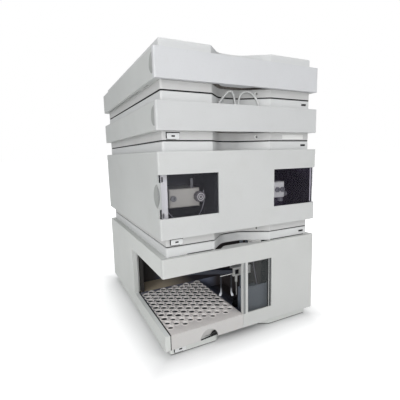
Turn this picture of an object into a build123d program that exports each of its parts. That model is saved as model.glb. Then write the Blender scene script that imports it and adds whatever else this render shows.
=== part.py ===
"""Liquid chromatography stack of four modules standing on one another: an autosampler with a
100-position vial tray, a two-channel pump with windows, a degasser and a plain upper module.

Millimetres. +Z up, the front faces -Y, the origin is at the middle of the footprint.
"""

from build123d import *
from math import atan2
from math import cos
from math import degrees
from math import radians
from math import sin
from math import sqrt
import os

os.makedirs("parts", exist_ok=True)

# ------------------------------------------------------------------ the stack
CASE_W = 345.0  # over the side panels
CASE_D = 435.0  # front cover to rear edge of the side panels
SAMPLER_H = 200.0
PUMP_H = 180.0
SLIM_H = 80.0  # degasser and upper module
BASE_H = 17.0  # plinth part of each module
LID_H = 16.5  # top cover part of each module
SIDE_INSET = 12.0  # base and lid, in from the side panels
FRONT_INSET = 9.5  # base and lid, back from the front cover
REAR_INSET = 3.0

# ------------------------------------------------------------------ walls
SKIN = 2.6  # base and lid
PANEL = 3.0  # side panels
COVER = 2.6  # front covers
SHEET = 1.5  # rear sheet metal
FIT = 0.4  # seam between outer panels
FLUSH = 0.15  # a piece let into an opening
BODY_R = 4.0  # vertical corners of base and lid
LID_EDGE = 1.1  # bevel round the top of each lid
PANEL_EDGE_R = 1.2
COVER_R = 3.0  # vertical front corners of the covers
SHADOW_H = 2.2  # shadow gap under each base
SHADOW_IN = 5.0
BASE_FLOOR = 4.4

# ------------------------------------------------------------------ scoop in the front of base and lid
SCOOP_LEFT = -66.5  # where it leaves the front face
SCOOP_RIGHT = 60.7
SCOOP_FLAT_LEFT = -35.0  # ends of its straight back
SCOOP_FLAT_RIGHT = 8.0
SCOOP_DEPTH = 31.0
SCOOP_R_LEFT = 30.0
SCOOP_R_RIGHT = 40.0
SCOOP_LIP_R = 5.0
SCOOP_EDGE_R = 1.8
LEDGE_LEFT = -56.0  # tongue of the front covers, reaching into the scoop
LEDGE_RIGHT = 26.0
LEDGE_DEPTH = 20.5
LEDGE_R = 16.0

# ------------------------------------------------------------------ front covers and side panels
COVER_DEPTH = 8.2
GRIP_R_SLIM = 16.0  # finger hollows beside the front covers
GRIP_R_PUMP = 20.0
GRIP_SINK = 4.2
GRIP_BACK = 2.2  # wall behind a finger hollow

# ------------------------------------------------------------------ buttons, lamps, vents, outlets
BUTTON_W = 22.0
BUTTON_H = 9.4
BUTTON_IN = 31.5  # its middle, in from the left side panel
BUTTON_RISE = 8.6  # its middle above the underside of the base
BUTTON_GAP = 0.4
BUTTON_LEN = 9.5
BUTTON_TRAVEL = 3.0
BUTTON_PROUD = 0.6
BUTTON_FLANGE = 1.4
LAMP_W = 11.5
LAMP_H = 3.4
LAMP_IN = 28.0  # its middle, in from the right side panel
LAMP_DROP = 7.8  # its middle under the top of the lid
VENT_W = 2.4
VENT_OUT = 3.0  # gap between a vent and the side of the base
VENT_LONG = (112.5, 296.0)  # start behind the front, and length
VENT_SHORT = (57.5, 23.0)
OUTLET_X = 36.4
OUTLET_D = 6.0
OUTLET_BORE = 3.4
OUTLET_RISE = 9.0
OUTLET_OUT = 2.0

# ------------------------------------------------------------------ chassis blocks
CORE_GAP = 0.4  # chassis to base, lid and side panels
CORE_FRONT = 3.4  # chassis face behind the deepest part of the scoop
REAR_DROP = 4.5  # rear sheet, in from the edge of the side panels
BOARD_BAY = 16.0  # room for the socket board between foam and rear sheet
BOARD_BAY_H = 52.0  # its top, above the underside of the module

# ------------------------------------------------------------------ pump windows and bays
WIN_LOW = 53.0  # above the underside of the pump
WIN_HIGH = 126.0
WIN_LEFT_END = -61.0
WIN_RIGHT_END = 63.5
PANE = 2.2
BAY_DEPTH = 46.0
BAY_MARGIN = 9.0
STRIP_W = 11.0  # front flange of the chassis beside each bay
STRIP_T = 1.5
STRIP_SET = 5.0  # behind the rear edge of the front cover
SLOT_W = 3.2
SLOT_H = 8.5

# ------------------------------------------------------------------ sampler opening, window and tray
OPEN_LOW = 45.0
OPEN_HIGH = 150.0
OPEN_LEN = 202.5  # side opening, back from the front
OPEN_RIGHT = -9.6  # left edge of the post
POST_RIGHT = 1.2
SAMPLER_WIN_RIGHT = 59.2
SILL_W = 9.8
TRAY_GAP = 0.5
TRAY_SILL_GAP = 1.2
TRAY_BACK_GAP = 5.0
TRAY_TOP = 3.0
TRAY_WALL = 2.4
TRAY_FLOOR = 3.0
WELL_PITCH = 17.0
WELL_D = 12.6
WELL_SIDES = 10
WELL_LEFT = 9.1  # first column from the left edge of the tray
WELL_FRONT = 26.3  # first row of the first column from the front of the tray
TRAY_SLOT_W = 36.0
TRAY_SLOT_H = 3.0
TRAY_GRIP_R = 18.5
CHAMBER_RIGHT = 66.0
CHAMBER_LEN = 255.5  # back from the front
CHAMBER_TOP = 194.0
BAY_FLOOR = 18.4

# ------------------------------------------------------------------ transport over the tray
RAIL_D = 8.0
RAIL_FIT = 0.06
RAIL_BACK = 133.5  # behind the front
RAIL_LOW = 158.0
RAIL_HIGH = 173.0
CARRIAGE_IN = 94.5  # its middle, in from the left side panel
CARRIAGE_W = 34.0
ARM_REACH = 80.0
ARM_AHEAD = 27.5  # pivot before the rail
ARM_LOW = 106.0
ARM_T = 9.0
HUB_D = 20.0
PIVOT_D = 8.0
FINGER_GAP = 19.0
FINGER_DROP = 50.0

# ------------------------------------------------------------------ fans
FAN_D = 74.0
FAN_HUB = 30.0
FAN_T = 14.0
FAN_BLADES = 5
FAN_SHAFT = 5.0

# ------------------------------------------------------------------ levels and planes that follow
X_OUT = CASE_W / 2
Y_FRONT = -CASE_D / 2
Y_REAR = CASE_D / 2
X_BODY = X_OUT - SIDE_INSET
Y_BODY = Y_FRONT + FRONT_INSET
Y_BACK = Y_REAR - REAR_INSET
Y_SCOOP = Y_BODY + SCOOP_DEPTH
Y_COVER = Y_FRONT + COVER_DEPTH  # rear edge of the front covers
Y_SIDE = Y_COVER + FIT  # front edge of the side panels
X_CORE = X_BODY - SKIN - CORE_GAP
Y_CORE = Y_SCOOP + CORE_FRONT
Y_SHEET = Y_REAR - REAR_DROP - SHEET  # front of the rear sheet
Z_SAMPLER = 0.0
Z_PUMP = Z_SAMPLER + SAMPLER_H
Z_DEGASSER = Z_PUMP + PUMP_H
Z_UPPER = Z_DEGASSER + SLIM_H
Z_TOP = Z_UPPER + SLIM_H
FLANGE = SIDE_INSET + SKIN  # reach of the side panels' flanges under the lid
BUTTON_X = BUTTON_IN - X_OUT
LAMP_X = X_OUT - LAMP_IN
OPEN_REAR = Y_FRONT + OPEN_LEN  # rear edge of the side opening
TRAY_BACK = OPEN_REAR - TRAY_BACK_GAP
CHAMBER_REAR = Y_FRONT + CHAMBER_LEN
RAIL_Y = Y_FRONT + RAIL_BACK
ARM_Y = RAIL_Y - ARM_AHEAD
CARRIAGE_X = CARRIAGE_IN - X_OUT


def save(piece, name):
    """Label one finished piece and write it."""
    piece.part.label = name
    export_step(piece.part, "parts/" + name + ".step")


BODY_CORNERS = (
    (-X_BODY, Y_BODY),
    (SCOOP_LEFT, Y_BODY),
    (SCOOP_FLAT_LEFT, Y_SCOOP),
    (SCOOP_FLAT_RIGHT, Y_SCOOP),
    (SCOOP_RIGHT, Y_BODY),
    (X_BODY, Y_BODY),
    (X_BODY, Y_BACK),
    (-X_BODY, Y_BACK),
)


def body_outline():
    """Plan outline of base and lid, with the scoop in its front edge."""
    return FilletPolyline(
        *BODY_CORNERS,
        radius=[BODY_R, SCOOP_LIP_R, SCOOP_R_LEFT, SCOOP_R_RIGHT, SCOOP_EDGE_R, BODY_R, BODY_R, BODY_R],
        close=True,
    )


def make_base(z0, has_button):
    """Plinth of one module: a tray with the scoop, a shadow gap and a button opening."""
    with BuildPart() as base:
        with BuildSketch(Plane.XY.offset(z0)):
            with BuildLine():
                Polyline(*BODY_CORNERS, close=True)
            make_face()
            offset(amount=-SHADOW_IN, kind=Kind.INTERSECTION, mode=Mode.REPLACE)
        extrude(amount=SHADOW_H)
        with BuildSketch(Plane.XY.offset(z0 + SHADOW_H)):
            with BuildLine():
                body_outline()
            make_face()
        extrude(amount=BASE_H - SHADOW_H)
        with BuildSketch(Plane.XY.offset(z0 + BASE_FLOOR)):
            with BuildLine():
                Polyline(*BODY_CORNERS, close=True)
            make_face()
            offset(amount=-SKIN, kind=Kind.INTERSECTION, mode=Mode.REPLACE)
        extrude(amount=BASE_H - BASE_FLOOR, mode=Mode.SUBTRACT)
        if has_button:
            z_button = z0 + BUTTON_RISE
            inner = Y_BODY + SKIN
            with Locations((BUTTON_X, Y_BODY, z_button)):
                Box(BUTTON_W + 2 * BUTTON_GAP, 4 * SKIN, BUTTON_H + 2 * BUTTON_GAP, mode=Mode.SUBTRACT)
            pocket = BUTTON_LEN + BUTTON_TRAVEL + BUTTON_GAP - SKIN
            with Locations((BUTTON_X, inner + pocket / 2, z_button)):
                Box(
                    BUTTON_W + 2 * BUTTON_FLANGE + 2 * BUTTON_GAP,
                    pocket,
                    BUTTON_H + 2 * BUTTON_FLANGE,
                    mode=Mode.SUBTRACT,
                )
    return base


def make_lid(z1, has_lamp):
    """Top cover of one module, open underneath, with the scoop and an opening for its lamp."""
    with BuildPart() as lid:
        with BuildSketch(Plane.XY.offset(z1 - LID_H)):
            with BuildLine():
                body_outline()
            make_face()
        extrude(amount=LID_H)
        chamfer(lid.faces().sort_by(Axis.Z)[-1].edges(), length=LID_EDGE)
        with BuildSketch(Plane.XY.offset(z1 - LID_H)):
            with BuildLine():
                Polyline(*BODY_CORNERS, close=True)
            make_face()
            offset(amount=-SKIN, kind=Kind.INTERSECTION, mode=Mode.REPLACE)
        extrude(amount=LID_H - SKIN, mode=Mode.SUBTRACT)
        if has_lamp:
            with Locations((LAMP_X, Y_BODY, z1 - LAMP_DROP)):
                Box(LAMP_W + 2 * FLUSH, 4 * SKIN, LAMP_H + 2 * FLUSH, mode=Mode.SUBTRACT)
    return lid


def channel_profile(side, z_low, z_high, reach):
    """Section of a side panel: outer wall with a flange in at the top and at the bottom."""
    outer = side * X_OUT
    return Polyline(
        (outer, z_low),
        (outer - side * reach, z_low),
        (outer - side * reach, z_low + PANEL),
        (outer - side * PANEL, z_low + PANEL),
        (outer - side * PANEL, z_high - PANEL),
        (outer - side * reach, z_high - PANEL),
        (outer - side * reach, z_high),
        (outer, z_high),
        close=True,
    )


def cut_vents(side, z_low):
    """Two long slots through the bottom flange of a side panel, inside its BuildPart."""
    x = side * (X_BODY + VENT_OUT + VENT_W / 2)
    for start, length in (VENT_LONG, VENT_SHORT):
        with Locations((x, Y_FRONT + start + length / 2, z_low)):
            Box(VENT_W, length, 3 * PANEL, mode=Mode.SUBTRACT)


def make_side(side, z0, z1, grip_r):
    """Side panel of one module; side is -1 on the left and 1 on the right."""
    z_low = z0 + BASE_H
    z_high = z1 - LID_H
    z_mid = (z_low + z_high) / 2
    ball = (grip_r**2 + GRIP_SINK**2) / (2 * GRIP_SINK)
    pad = GRIP_SINK + GRIP_BACK - PANEL
    with BuildPart() as panel:
        with BuildSketch(Plane.XZ.offset(-Y_REAR)):
            with BuildLine():
                channel_profile(side, z_low, z_high, FLANGE)
            make_face()
        extrude(amount=Y_REAR - Y_SIDE)
        outer_edges = panel.edges().filter_by(Axis.Y).group_by(Axis.X)[0 if side < 0 else -1]
        fillet(outer_edges, radius=PANEL_EDGE_R)
        with Locations((side * (X_OUT - PANEL - pad / 2), Y_SIDE + (grip_r + GRIP_BACK) / 2, z_mid)):
            Box(pad, grip_r + GRIP_BACK, 2 * (grip_r + GRIP_BACK))
        with Locations((side * (X_OUT + ball - GRIP_SINK), Y_SIDE, z_mid)):
            Sphere(radius=ball, mode=Mode.SUBTRACT)
        cut_vents(side, z_low)
    return panel


def make_sampler_side_left(z0, z1):
    """Left side of the sampler: whole at the rear, with a sill and an arm round the open corner."""
    z_low = z0 + BASE_H
    z_high = z1 - LID_H
    z_sill = z0 + OPEN_LOW
    z_arm = z0 + OPEN_HIGH
    left = -X_OUT
    step = SILL_W - PANEL
    with BuildPart() as panel:
        with BuildSketch(Plane.XZ.offset(-Y_REAR)):
            with BuildLine():
                channel_profile(-1, z_low, z_high, FLANGE)
            make_face()
        extrude(amount=Y_REAR - OPEN_REAR)
        # sill tube under the opening, closed at its front end
        with BuildSketch(Plane.XZ.offset(-OPEN_REAR)):
            with BuildLine():
                Polyline(
                    (left, z_low),
                    (left + SILL_W, z_low),
                    (left + SILL_W, z_sill),
                    (left, z_sill),
                    close=True,
                )
            make_face()
            offset(amount=-COVER, mode=Mode.SUBTRACT)
        extrude(amount=OPEN_REAR - Y_FRONT)
        with BuildSketch(Plane.XZ.offset(-Y_FRONT - COVER)):
            with BuildLine():
                Polyline(
                    (left, z_low),
                    (left + SILL_W, z_low),
                    (left + SILL_W, z_sill),
                    (left, z_sill),
                    close=True,
                )
            make_face()
        extrude(amount=COVER)
        # arm over the opening, a channel with its flange under the lid
        with BuildSketch(Plane.XZ.offset(-OPEN_REAR)):
            with BuildLine():
                Polyline(
                    (left, z_arm),
                    (left + SILL_W, z_arm),
                    (left + SILL_W, z_high - PANEL),
                    (left + FLANGE, z_high - PANEL),
                    (left + FLANGE, z_high),
                    (left, z_high),
                    close=True,
                )
            make_face()
            with BuildLine():
                Polyline(
                    (left + PANEL, z_arm + PANEL),
                    (left + SILL_W - COVER, z_arm + PANEL),
                    (left + SILL_W - COVER, z_high - PANEL),
                    (left + PANEL, z_high - PANEL),
                    close=True,
                )
            make_face(mode=Mode.SUBTRACT)
        extrude(amount=OPEN_REAR - Y_SIDE)
        # stepped reveal at the rear of the opening
        with BuildSketch(Plane.XY.offset(z_sill - COVER)):
            with BuildLine():
                Polyline(
                    (left + PANEL / 2, OPEN_REAR),
                    (left + SILL_W, OPEN_REAR),
                    (left + SILL_W, OPEN_REAR + step),
                    (left + FLANGE, OPEN_REAR + step),
                    (left + FLANGE, OPEN_REAR + step + COVER),
                    (left + SILL_W - COVER, OPEN_REAR + step + COVER),
                    (left + SILL_W - COVER, OPEN_REAR + COVER),
                    (left + PANEL / 2, OPEN_REAR + COVER),
                    close=True,
                )
            make_face()
        extrude(amount=z_arm + PANEL - z_sill + COVER)
    return panel


def ledge_face(y_start):
    """Tongue of a front cover that reaches back into the scoop."""
    back = Y_FRONT + LEDGE_DEPTH
    run = back - y_start
    return FilletPolyline(
        (LEDGE_LEFT, y_start),
        (LEDGE_LEFT + run, back),
        (LEDGE_RIGHT - 1.6 * run, back),
        (LEDGE_RIGHT, y_start),
        radius=[0, LEDGE_R, LEDGE_R, 0],
        close=True,
    )


def make_cover_shell(z0, z1):
    """Front cover blank: a shallow box open to the rear, with a tongue at the top and bottom edge."""
    z_low = z0 + BASE_H
    z_high = z1 - LID_H
    y_root = Y_COVER - COVER
    with BuildPart() as cover:
        with BuildSketch(Plane.XY.offset(z_low)):
            with BuildLine():
                FilletPolyline(
                    (-X_OUT, Y_FRONT),
                    (X_OUT, Y_FRONT),
                    (X_OUT, Y_COVER),
                    (-X_OUT, Y_COVER),
                    radius=[COVER_R, COVER_R, 0, 0],
                    close=True,
                )
            make_face()
        extrude(amount=z_high - z_low)
        with Locations((0, (Y_FRONT + COVER + Y_COVER) / 2, (z_low + z_high) / 2)):
            Box(
                CASE_W - 2 * COVER,
                COVER_DEPTH - COVER,
                z_high - z_low - 2 * COVER,
                mode=Mode.SUBTRACT,
            )
        for z_plate in (z_low, z_high - COVER):
            with BuildSketch(Plane.XY.offset(z_plate)):
                with BuildLine():
                    ledge_face(y_root)
                make_face()
            extrude(amount=COVER)
    return cover


def make_core(z0, z1):
    """Foam chassis block of one module behind the scoop, stepped at the rear for the sockets' board."""
    with BuildPart() as core:
        with BuildSketch(Plane.XY.offset(z0 + BASE_FLOOR)):
            with BuildLine():
                Polyline(
                    (-X_CORE, Y_CORE),
                    (X_CORE, Y_CORE),
                    (X_CORE, Y_SHEET),
                    (-X_CORE, Y_SHEET),
                    close=True,
                )
            make_face()
        extrude(amount=z1 - SKIN - z0 - BASE_FLOOR)
        if z0 != Z_UPPER:
            bay_h = BOARD_BAY_H - BASE_FLOOR
            with Locations((0, Y_SHEET, z0 + BASE_FLOOR + bay_h / 2)):
                Box(CASE_W, 2 * BOARD_BAY, bay_h, mode=Mode.SUBTRACT)
    return core


def make_rear(z0, z1, cutouts, fan):
    """Rear sheet of one module with its sockets' openings and, where it has one, a fan grille."""
    z_low = z0 + BASE_H + FIT
    z_high = z1 - LID_H - FIT
    half = X_OUT - PANEL - FIT
    with BuildPart() as rear:
        with BuildSketch(Plane.XZ.offset(-Y_SHEET - SHEET)):
            with BuildLine():
                Polyline((-half, z_low), (half, z_low), (half, z_high), (-half, z_high), close=True)
            make_face()
            # corners clear of the side panels' flanges
            for x in (-half, half):
                for z in (z_low, z_high):
                    with Locations((x, z)):
                        Rectangle(2 * (FLANGE - PANEL + FIT), 2 * (PANEL + FIT), mode=Mode.SUBTRACT)
            for x, z, w, h in cutouts:
                with Locations((x, z)):
                    Rectangle(w, h, mode=Mode.SUBTRACT)
            if fan is not None:
                x_fan, z_fan = fan
                count = 7
                pitch = FAN_D / count
                for i in range(count):
                    rise = (i - (count - 1) / 2) * pitch
                    width = 2 * sqrt((FAN_D / 2) ** 2 - rise**2)
                    with Locations((x_fan, z_fan + rise)):
                        Rectangle(width, pitch * 0.55, mode=Mode.SUBTRACT)
        extrude(amount=SHEET)
    return rear


def make_button(z0):
    """Power button with the flange that keeps it in its opening."""
    z_mid = z0 + BUTTON_RISE
    inner = Y_BODY + SKIN + FLUSH
    with BuildPart() as button:
        with BuildSketch(Plane.XZ.offset(-Y_BODY + BUTTON_PROUD)):
            with Locations((BUTTON_X, z_mid)):
                RectangleRounded(BUTTON_W, BUTTON_H, 0.8)
        extrude(amount=-(BUTTON_LEN + BUTTON_PROUD))
        with BuildSketch(Plane.XZ.offset(-inner)):
            with Locations((BUTTON_X, z_mid)):
                Rectangle(BUTTON_W + 2 * BUTTON_FLANGE, BUTTON_H + BUTTON_FLANGE)
        extrude(amount=-BUTTON_FLANGE)
    return button


# ================================================================== outer pieces of the four modules
RISERS = [
    ("sampler", Z_SAMPLER, Z_PUMP),
    ("pump", Z_PUMP, Z_DEGASSER),
    ("degasser", Z_DEGASSER, Z_UPPER),
    ("upper", Z_UPPER, Z_TOP),
]

for name, z0, z1 in RISERS:
    powered = name != "upper"
    save(make_base(z0, powered), name + "_base")
    save(make_lid(z1, powered), name + "_lid")
    if powered:
        save(make_button(z0), name + "_power_button")

for name, z0, z1 in RISERS[1:]:
    grip = GRIP_R_PUMP if name == "pump" else GRIP_R_SLIM
    save(make_side(-1, z0, z1, grip), name + "_side_left")
    save(make_side(1, z0, z1, grip), name + "_side_right")
save(make_sampler_side_left(Z_SAMPLER, Z_PUMP), "sampler_side_left")
save(make_side(1, Z_SAMPLER, Z_PUMP, GRIP_R_PUMP), "sampler_side_right")

for name, z0, z1 in RISERS[2:]:
    save(make_cover_shell(z0, z1), name + "_front_cover")

# ------------------------------------------------------------------ pump cover and its two windows
pump_win_low = Z_PUMP + WIN_LOW
pump_win_high = Z_PUMP + WIN_HIGH


def window_span(side):
    """X range of a pump window, from its inner edge to past the side of the cover."""
    inner = WIN_LEFT_END if side < 0 else WIN_RIGHT_END
    return inner, side * (X_OUT + 1)


pump_cover = make_cover_shell(Z_PUMP, Z_DEGASSER)
with BuildPart() as pump_front_cover:
    add(pump_cover.part)
    for side in (-1, 1):
        inner, outer = window_span(side)
        with Locations(((inner + outer) / 2, (Y_FRONT + Y_COVER) / 2, (pump_win_low + pump_win_high) / 2)):
            Box(abs(outer - inner), COVER_DEPTH + 2, pump_win_high - pump_win_low, mode=Mode.SUBTRACT)
save(pump_front_cover, "pump_front_cover")


def make_pump_window(side):
    """Clear pane that runs round the corner of the pump's front cover."""
    inner = (WIN_LEFT_END if side < 0 else WIN_RIGHT_END) + side * FLUSH
    outer = side * X_OUT
    thick = side * PANE
    with BuildPart() as pane:
        with BuildSketch(Plane.XY.offset(pump_win_low + FLUSH)):
            with BuildLine():
                FilletPolyline(
                    (inner, Y_FRONT),
                    (outer, Y_FRONT),
                    (outer, Y_COVER),
                    (outer - thick, Y_COVER),
                    (outer - thick, Y_FRONT + PANE),
                    (inner, Y_FRONT + PANE),
                    radius=[0, COVER_R, 0, 0, COVER_R - PANE, 0],
                    close=True,
                )
            make_face()
        extrude(amount=pump_win_high - pump_win_low - 2 * FLUSH)
    return pane


save(make_pump_window(-1), "pump_window_left")
save(make_pump_window(1), "pump_window_right")

# ------------------------------------------------------------------ sampler cover and its window
post_left = OPEN_RIGHT
z_open_low = Z_SAMPLER + OPEN_LOW
z_open_high = Z_SAMPLER + OPEN_HIGH
sampler_cover = make_cover_shell(Z_SAMPLER, Z_PUMP)
with BuildPart() as sampler_front_cover:
    add(sampler_cover.part)
    # everything left of the post and under the beam is open
    gap_w = post_left + X_OUT + 1
    with Locations((post_left - gap_w / 2, Y_FRONT, z_open_high / 2)):
        Box(gap_w, 3 * LEDGE_DEPTH, z_open_high, mode=Mode.SUBTRACT)
    # the tongue at the bottom edge would stand in the tray's way
    with Locations((POST_RIGHT, Y_COVER + LEDGE_DEPTH / 2, Z_SAMPLER + BASE_H)):
        Box(CASE_W, LEDGE_DEPTH, 3 * COVER, mode=Mode.SUBTRACT)
    with Locations(((POST_RIGHT + SAMPLER_WIN_RIGHT) / 2, Y_FRONT, (z_open_low + z_open_high) / 2)):
        Box(SAMPLER_WIN_RIGHT - POST_RIGHT, 4 * COVER, z_open_high - z_open_low - 2, mode=Mode.SUBTRACT)
    # flange under the beam and return along the post
    with BuildSketch(Plane.XZ.offset(-Y_COVER)):
        with BuildLine():
            Polyline(
                (-X_OUT, z_open_high),
                (post_left, z_open_high),
                (post_left, Z_SAMPLER + BASE_H),
                (post_left + COVER, Z_SAMPLER + BASE_H),
                (post_left + COVER, z_open_high + COVER),
                (-X_OUT, z_open_high + COVER),
                close=True,
            )
        make_face()
    extrude(amount=COVER_DEPTH - COVER / 2)
save(sampler_front_cover, "sampler_front_cover")

with BuildPart() as sampler_window:
    with Locations(
        (
            (POST_RIGHT + SAMPLER_WIN_RIGHT) / 2,
            Y_FRONT + COVER - PANE / 2,
            (z_open_low + z_open_high) / 2,
        )
    ):
        Box(
            SAMPLER_WIN_RIGHT - POST_RIGHT - 2 * FLUSH,
            PANE,
            z_open_high - z_open_low - 2 - 2 * FLUSH,
        )
save(sampler_window, "sampler_window")

# ================================================================== chassis, rear sheets and sockets
INLET_W = 28.0
INLET_H = 20.5
INLET_X = X_OUT - 54.5
INLET_RISE = 33.0  # its middle above the underside of the base
INLET_DEEP = 15.0
PORT_W = 13.0
PORT_H = 11.0
PORT_DEEP = 9.0
PORT_X = (INLET_X - 56.0, INLET_X - 34.0)
SERIAL_W = 31.0
SERIAL_H = 12.5
SERIAL_X = INLET_X - 98.0
SOCKET_PROUD = 1.2
FAN_X = 80.5 - X_OUT
FAN_RISE_PUMP = 92.0
FAN_RISE_SAMPLER = 104.0
FAN_WELL = 22.0

fans = {"pump": (FAN_X, Z_PUMP + FAN_RISE_PUMP), "sampler": (FAN_X, Z_SAMPLER + FAN_RISE_SAMPLER)}


def rear_cutouts(z0):
    """Openings of one module's rear sheet: mains inlet, two bus sockets, one serial socket."""
    z_mid = z0 + INLET_RISE
    openings = [(INLET_X, z_mid, INLET_W + 2 * FLUSH, INLET_H + 2 * FLUSH)]
    for x in PORT_X:
        openings.append((x, z_mid, PORT_W + 2 * FLUSH, PORT_H + 2 * FLUSH))
    openings.append((SERIAL_X, z_mid, SERIAL_W + 2 * FLUSH, SERIAL_H + 2 * FLUSH))
    return openings


def fan_well(x, z):
    """Round well for the fan with the pin that carries it, inside a chassis' BuildPart."""
    pin = FAN_T + PANEL
    with Locations((x, Y_SHEET - FAN_WELL / 2, z)):
        Cylinder(FAN_D / 2 + 2 * PANEL, FAN_WELL, rotation=(90, 0, 0), mode=Mode.SUBTRACT)
    with Locations((x, Y_SHEET - FAN_WELL + pin / 2, z)):
        Cylinder(FAN_SHAFT / 2, pin, rotation=(90, 0, 0))


for name, z0, z1 in RISERS:
    openings = rear_cutouts(z0) if name != "upper" else []
    save(make_rear(z0, z1, openings, fans.get(name)), name + "_rear_panel")

with BuildPart() as mains_inlets:
    for name, z0, z1 in RISERS[:3]:
        z_mid = z0 + INLET_RISE
        with Locations((INLET_X, Y_SHEET + SHEET + SOCKET_PROUD - (INLET_DEEP + SOCKET_PROUD) / 2, z_mid)):
            Box(INLET_W, INLET_DEEP + SOCKET_PROUD, INLET_H)
        rim = SKIN * 0.8
        with Locations((INLET_X, Y_SHEET + SHEET + SOCKET_PROUD, z_mid)):
            Box(INLET_W - 2 * rim, 2 * (INLET_DEEP - rim), INLET_H - 2 * rim, mode=Mode.SUBTRACT)
        blade_y = Y_SHEET + SHEET + SOCKET_PROUD - INLET_DEEP * 0.6
        for dx, dz in ((-7.0, -1.6), (0.0, 2.4), (7.0, -1.6)):
            with Locations((INLET_X + dx, blade_y, z_mid + dz)):
                Box(2.0, INLET_DEEP * 0.7, 4.0)
save(mains_inlets, "mains_inlets")

with BuildPart() as data_ports:
    for name, z0, z1 in RISERS[:3]:
        z_mid = z0 + INLET_RISE
        for x in PORT_X:
            with Locations((x, Y_SHEET + SHEET + SOCKET_PROUD - (PORT_DEEP + SOCKET_PROUD) / 2, z_mid)):
                Box(PORT_W, PORT_DEEP + SOCKET_PROUD, PORT_H)
            with Locations((x, Y_SHEET + SHEET + SOCKET_PROUD, z_mid)):
                Box(PORT_W - SKIN, 2 * PORT_DEEP - SKIN, PORT_H - SKIN, mode=Mode.SUBTRACT)
        # D-shaped shell of the serial socket
        with BuildSketch(Plane.XZ.offset(-Y_SHEET)):
            with Locations((SERIAL_X, z_mid)):
                Rectangle(SERIAL_W, SERIAL_H)
        extrude(amount=-SHEET)
        with BuildSketch(Plane.XZ.offset(-Y_SHEET - SHEET)):
            with Locations((SERIAL_X, z_mid)):
                Trapezoid(SERIAL_W * 0.56, SERIAL_H * 0.7, 80, rotation=180)
        extrude(amount=-SOCKET_PROUD)
save(data_ports, "data_ports")

# ------------------------------------------------------------------ upper module and degasser
save(make_core(Z_UPPER, Z_TOP), "upper_chassis")

PORT_SHELF_LOW = 20.0  # above the underside of the degasser
PORT_SHELF_T = 9.0
PORT_SHELF_X = 56.0
TUBE_D = 4.0
NUT_D = 9.0
NUT_H = 13.0
TUBE_Y = Y_FRONT + 29.0
TUBE_Y_OUT = Y_FRONT + 14.5
TUBE_ENDS = ((-40.0, TUBE_Y - 1.0), (-4.0, TUBE_Y), (4.5, TUBE_Y), (36.0, TUBE_Y_OUT))

z_shelf = Z_DEGASSER + PORT_SHELF_LOW + PORT_SHELF_T
z_nut = z_shelf + NUT_H + FIT
degasser_core = make_core(Z_DEGASSER, Z_UPPER)
with BuildPart() as degasser_chassis:
    add(degasser_core.part)
    shelf_front = Y_FRONT + COVER + 2 * FIT
    with Locations((0, (shelf_front + Y_CORE) / 2, z_shelf - PORT_SHELF_T / 2)):
        Box(2 * PORT_SHELF_X, Y_CORE - shelf_front, PORT_SHELF_T)
save(degasser_chassis, "degasser_chassis")

with BuildPart() as degasser_fittings:
    for x, y in TUBE_ENDS:
        with BuildSketch(Plane.XY.offset(z_shelf)):
            with Locations((x, y)):
                RegularPolygon(NUT_D / 2, 6)
        extrude(amount=NUT_H * 0.4)
        with BuildSketch(Plane.XY.offset(z_shelf + NUT_H * 0.4)):
            with Locations((x, y)):
                RegularPolygon(NUT_D * 0.38, 12)
        extrude(amount=NUT_H * 0.6, taper=6)
save(degasser_fittings, "degasser_fittings")


def tangent_radii(points):
    """Largest radii that a route of straight runs allows: 0.45 of the shorter run at each turn."""
    radii = []
    for a, b, c in zip(points, points[1:], points[2:]):
        before = Vector(*b) - Vector(*a)
        after = Vector(*c) - Vector(*b)
        turn = radians(before.get_angle(after))
        short = min(before.length, after.length)
        radii.append(0.45 * short * (1 + cos(turn)) / sin(turn))
    return radii


def make_tube(points, diameter, sides):
    """Tube along straight runs joined by tangent arcs, its section a polygon of so many sides."""
    with BuildPart() as tube:
        with BuildLine() as route:
            FilletPolyline(*points, radius=tangent_radii(points))
        start = Plane(origin=points[0], z_dir=Vector(*points[1]) - Vector(*points[0]))
        with BuildSketch(start) as ring:
            RegularPolygon(diameter / 2, sides)
        sweep(path=route.wires()[0])
    radii = ", ".join(f"{r:.1f}" for r in tangent_radii(points))
    section = ring.sketch.area
    length = route.wires()[0].length
    print(f"tube {diameter} mm, radii {radii}; volume {tube.part.volume:.0f}, section x length {section * length:.0f}")
    return tube


Z_LOOP = Z_DEGASSER + 92.5  # crest of the two tube loops
(x_a, y_a), (x_b, y_b), (x_c, y_c), (x_d, y_d) = TUBE_ENDS
LEFT_LOOP = [
    (x_a, y_a, z_nut),
    (x_a - 6.0, y_a - 1.0, Z_LOOP - 25.0),
    (x_a + 4.5, y_a - 1.5, Z_LOOP - 8.0),
    (x_b - 15.0, y_b - 0.5, Z_LOOP + 1.5),
    (x_b - 2.0, y_b, Z_LOOP - 3.0),
    (x_b + 2.0, y_b + 0.3, Z_LOOP - 17.5),
    (x_b + 1.0, y_b, Z_LOOP - 34.0),
    (x_b, y_b, z_nut),
]
RIGHT_LOOP = [
    (x_c, y_c, z_nut),
    (x_c - 1.5, y_c - 0.2, Z_LOOP - 32.0),
    (x_c - 0.5, y_c - 0.5, Z_LOOP - 15.0),
    (x_c + 4.0, y_c - 1.5, Z_LOOP - 2.0),
    (x_c + 14.5, y_c - 4.5, Z_LOOP + 3.0),
    (x_c + 25.0, y_c - 9.5, Z_LOOP - 3.5),
    (x_d + 1.0, y_d + 1.5, Z_LOOP - 20.0),
    (x_d + 2.0, y_d, Z_LOOP - 36.0),
    (x_d, y_d, z_nut),
]
save(make_tube(LEFT_LOOP, TUBE_D, 6), "degasser_tube_left")
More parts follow.
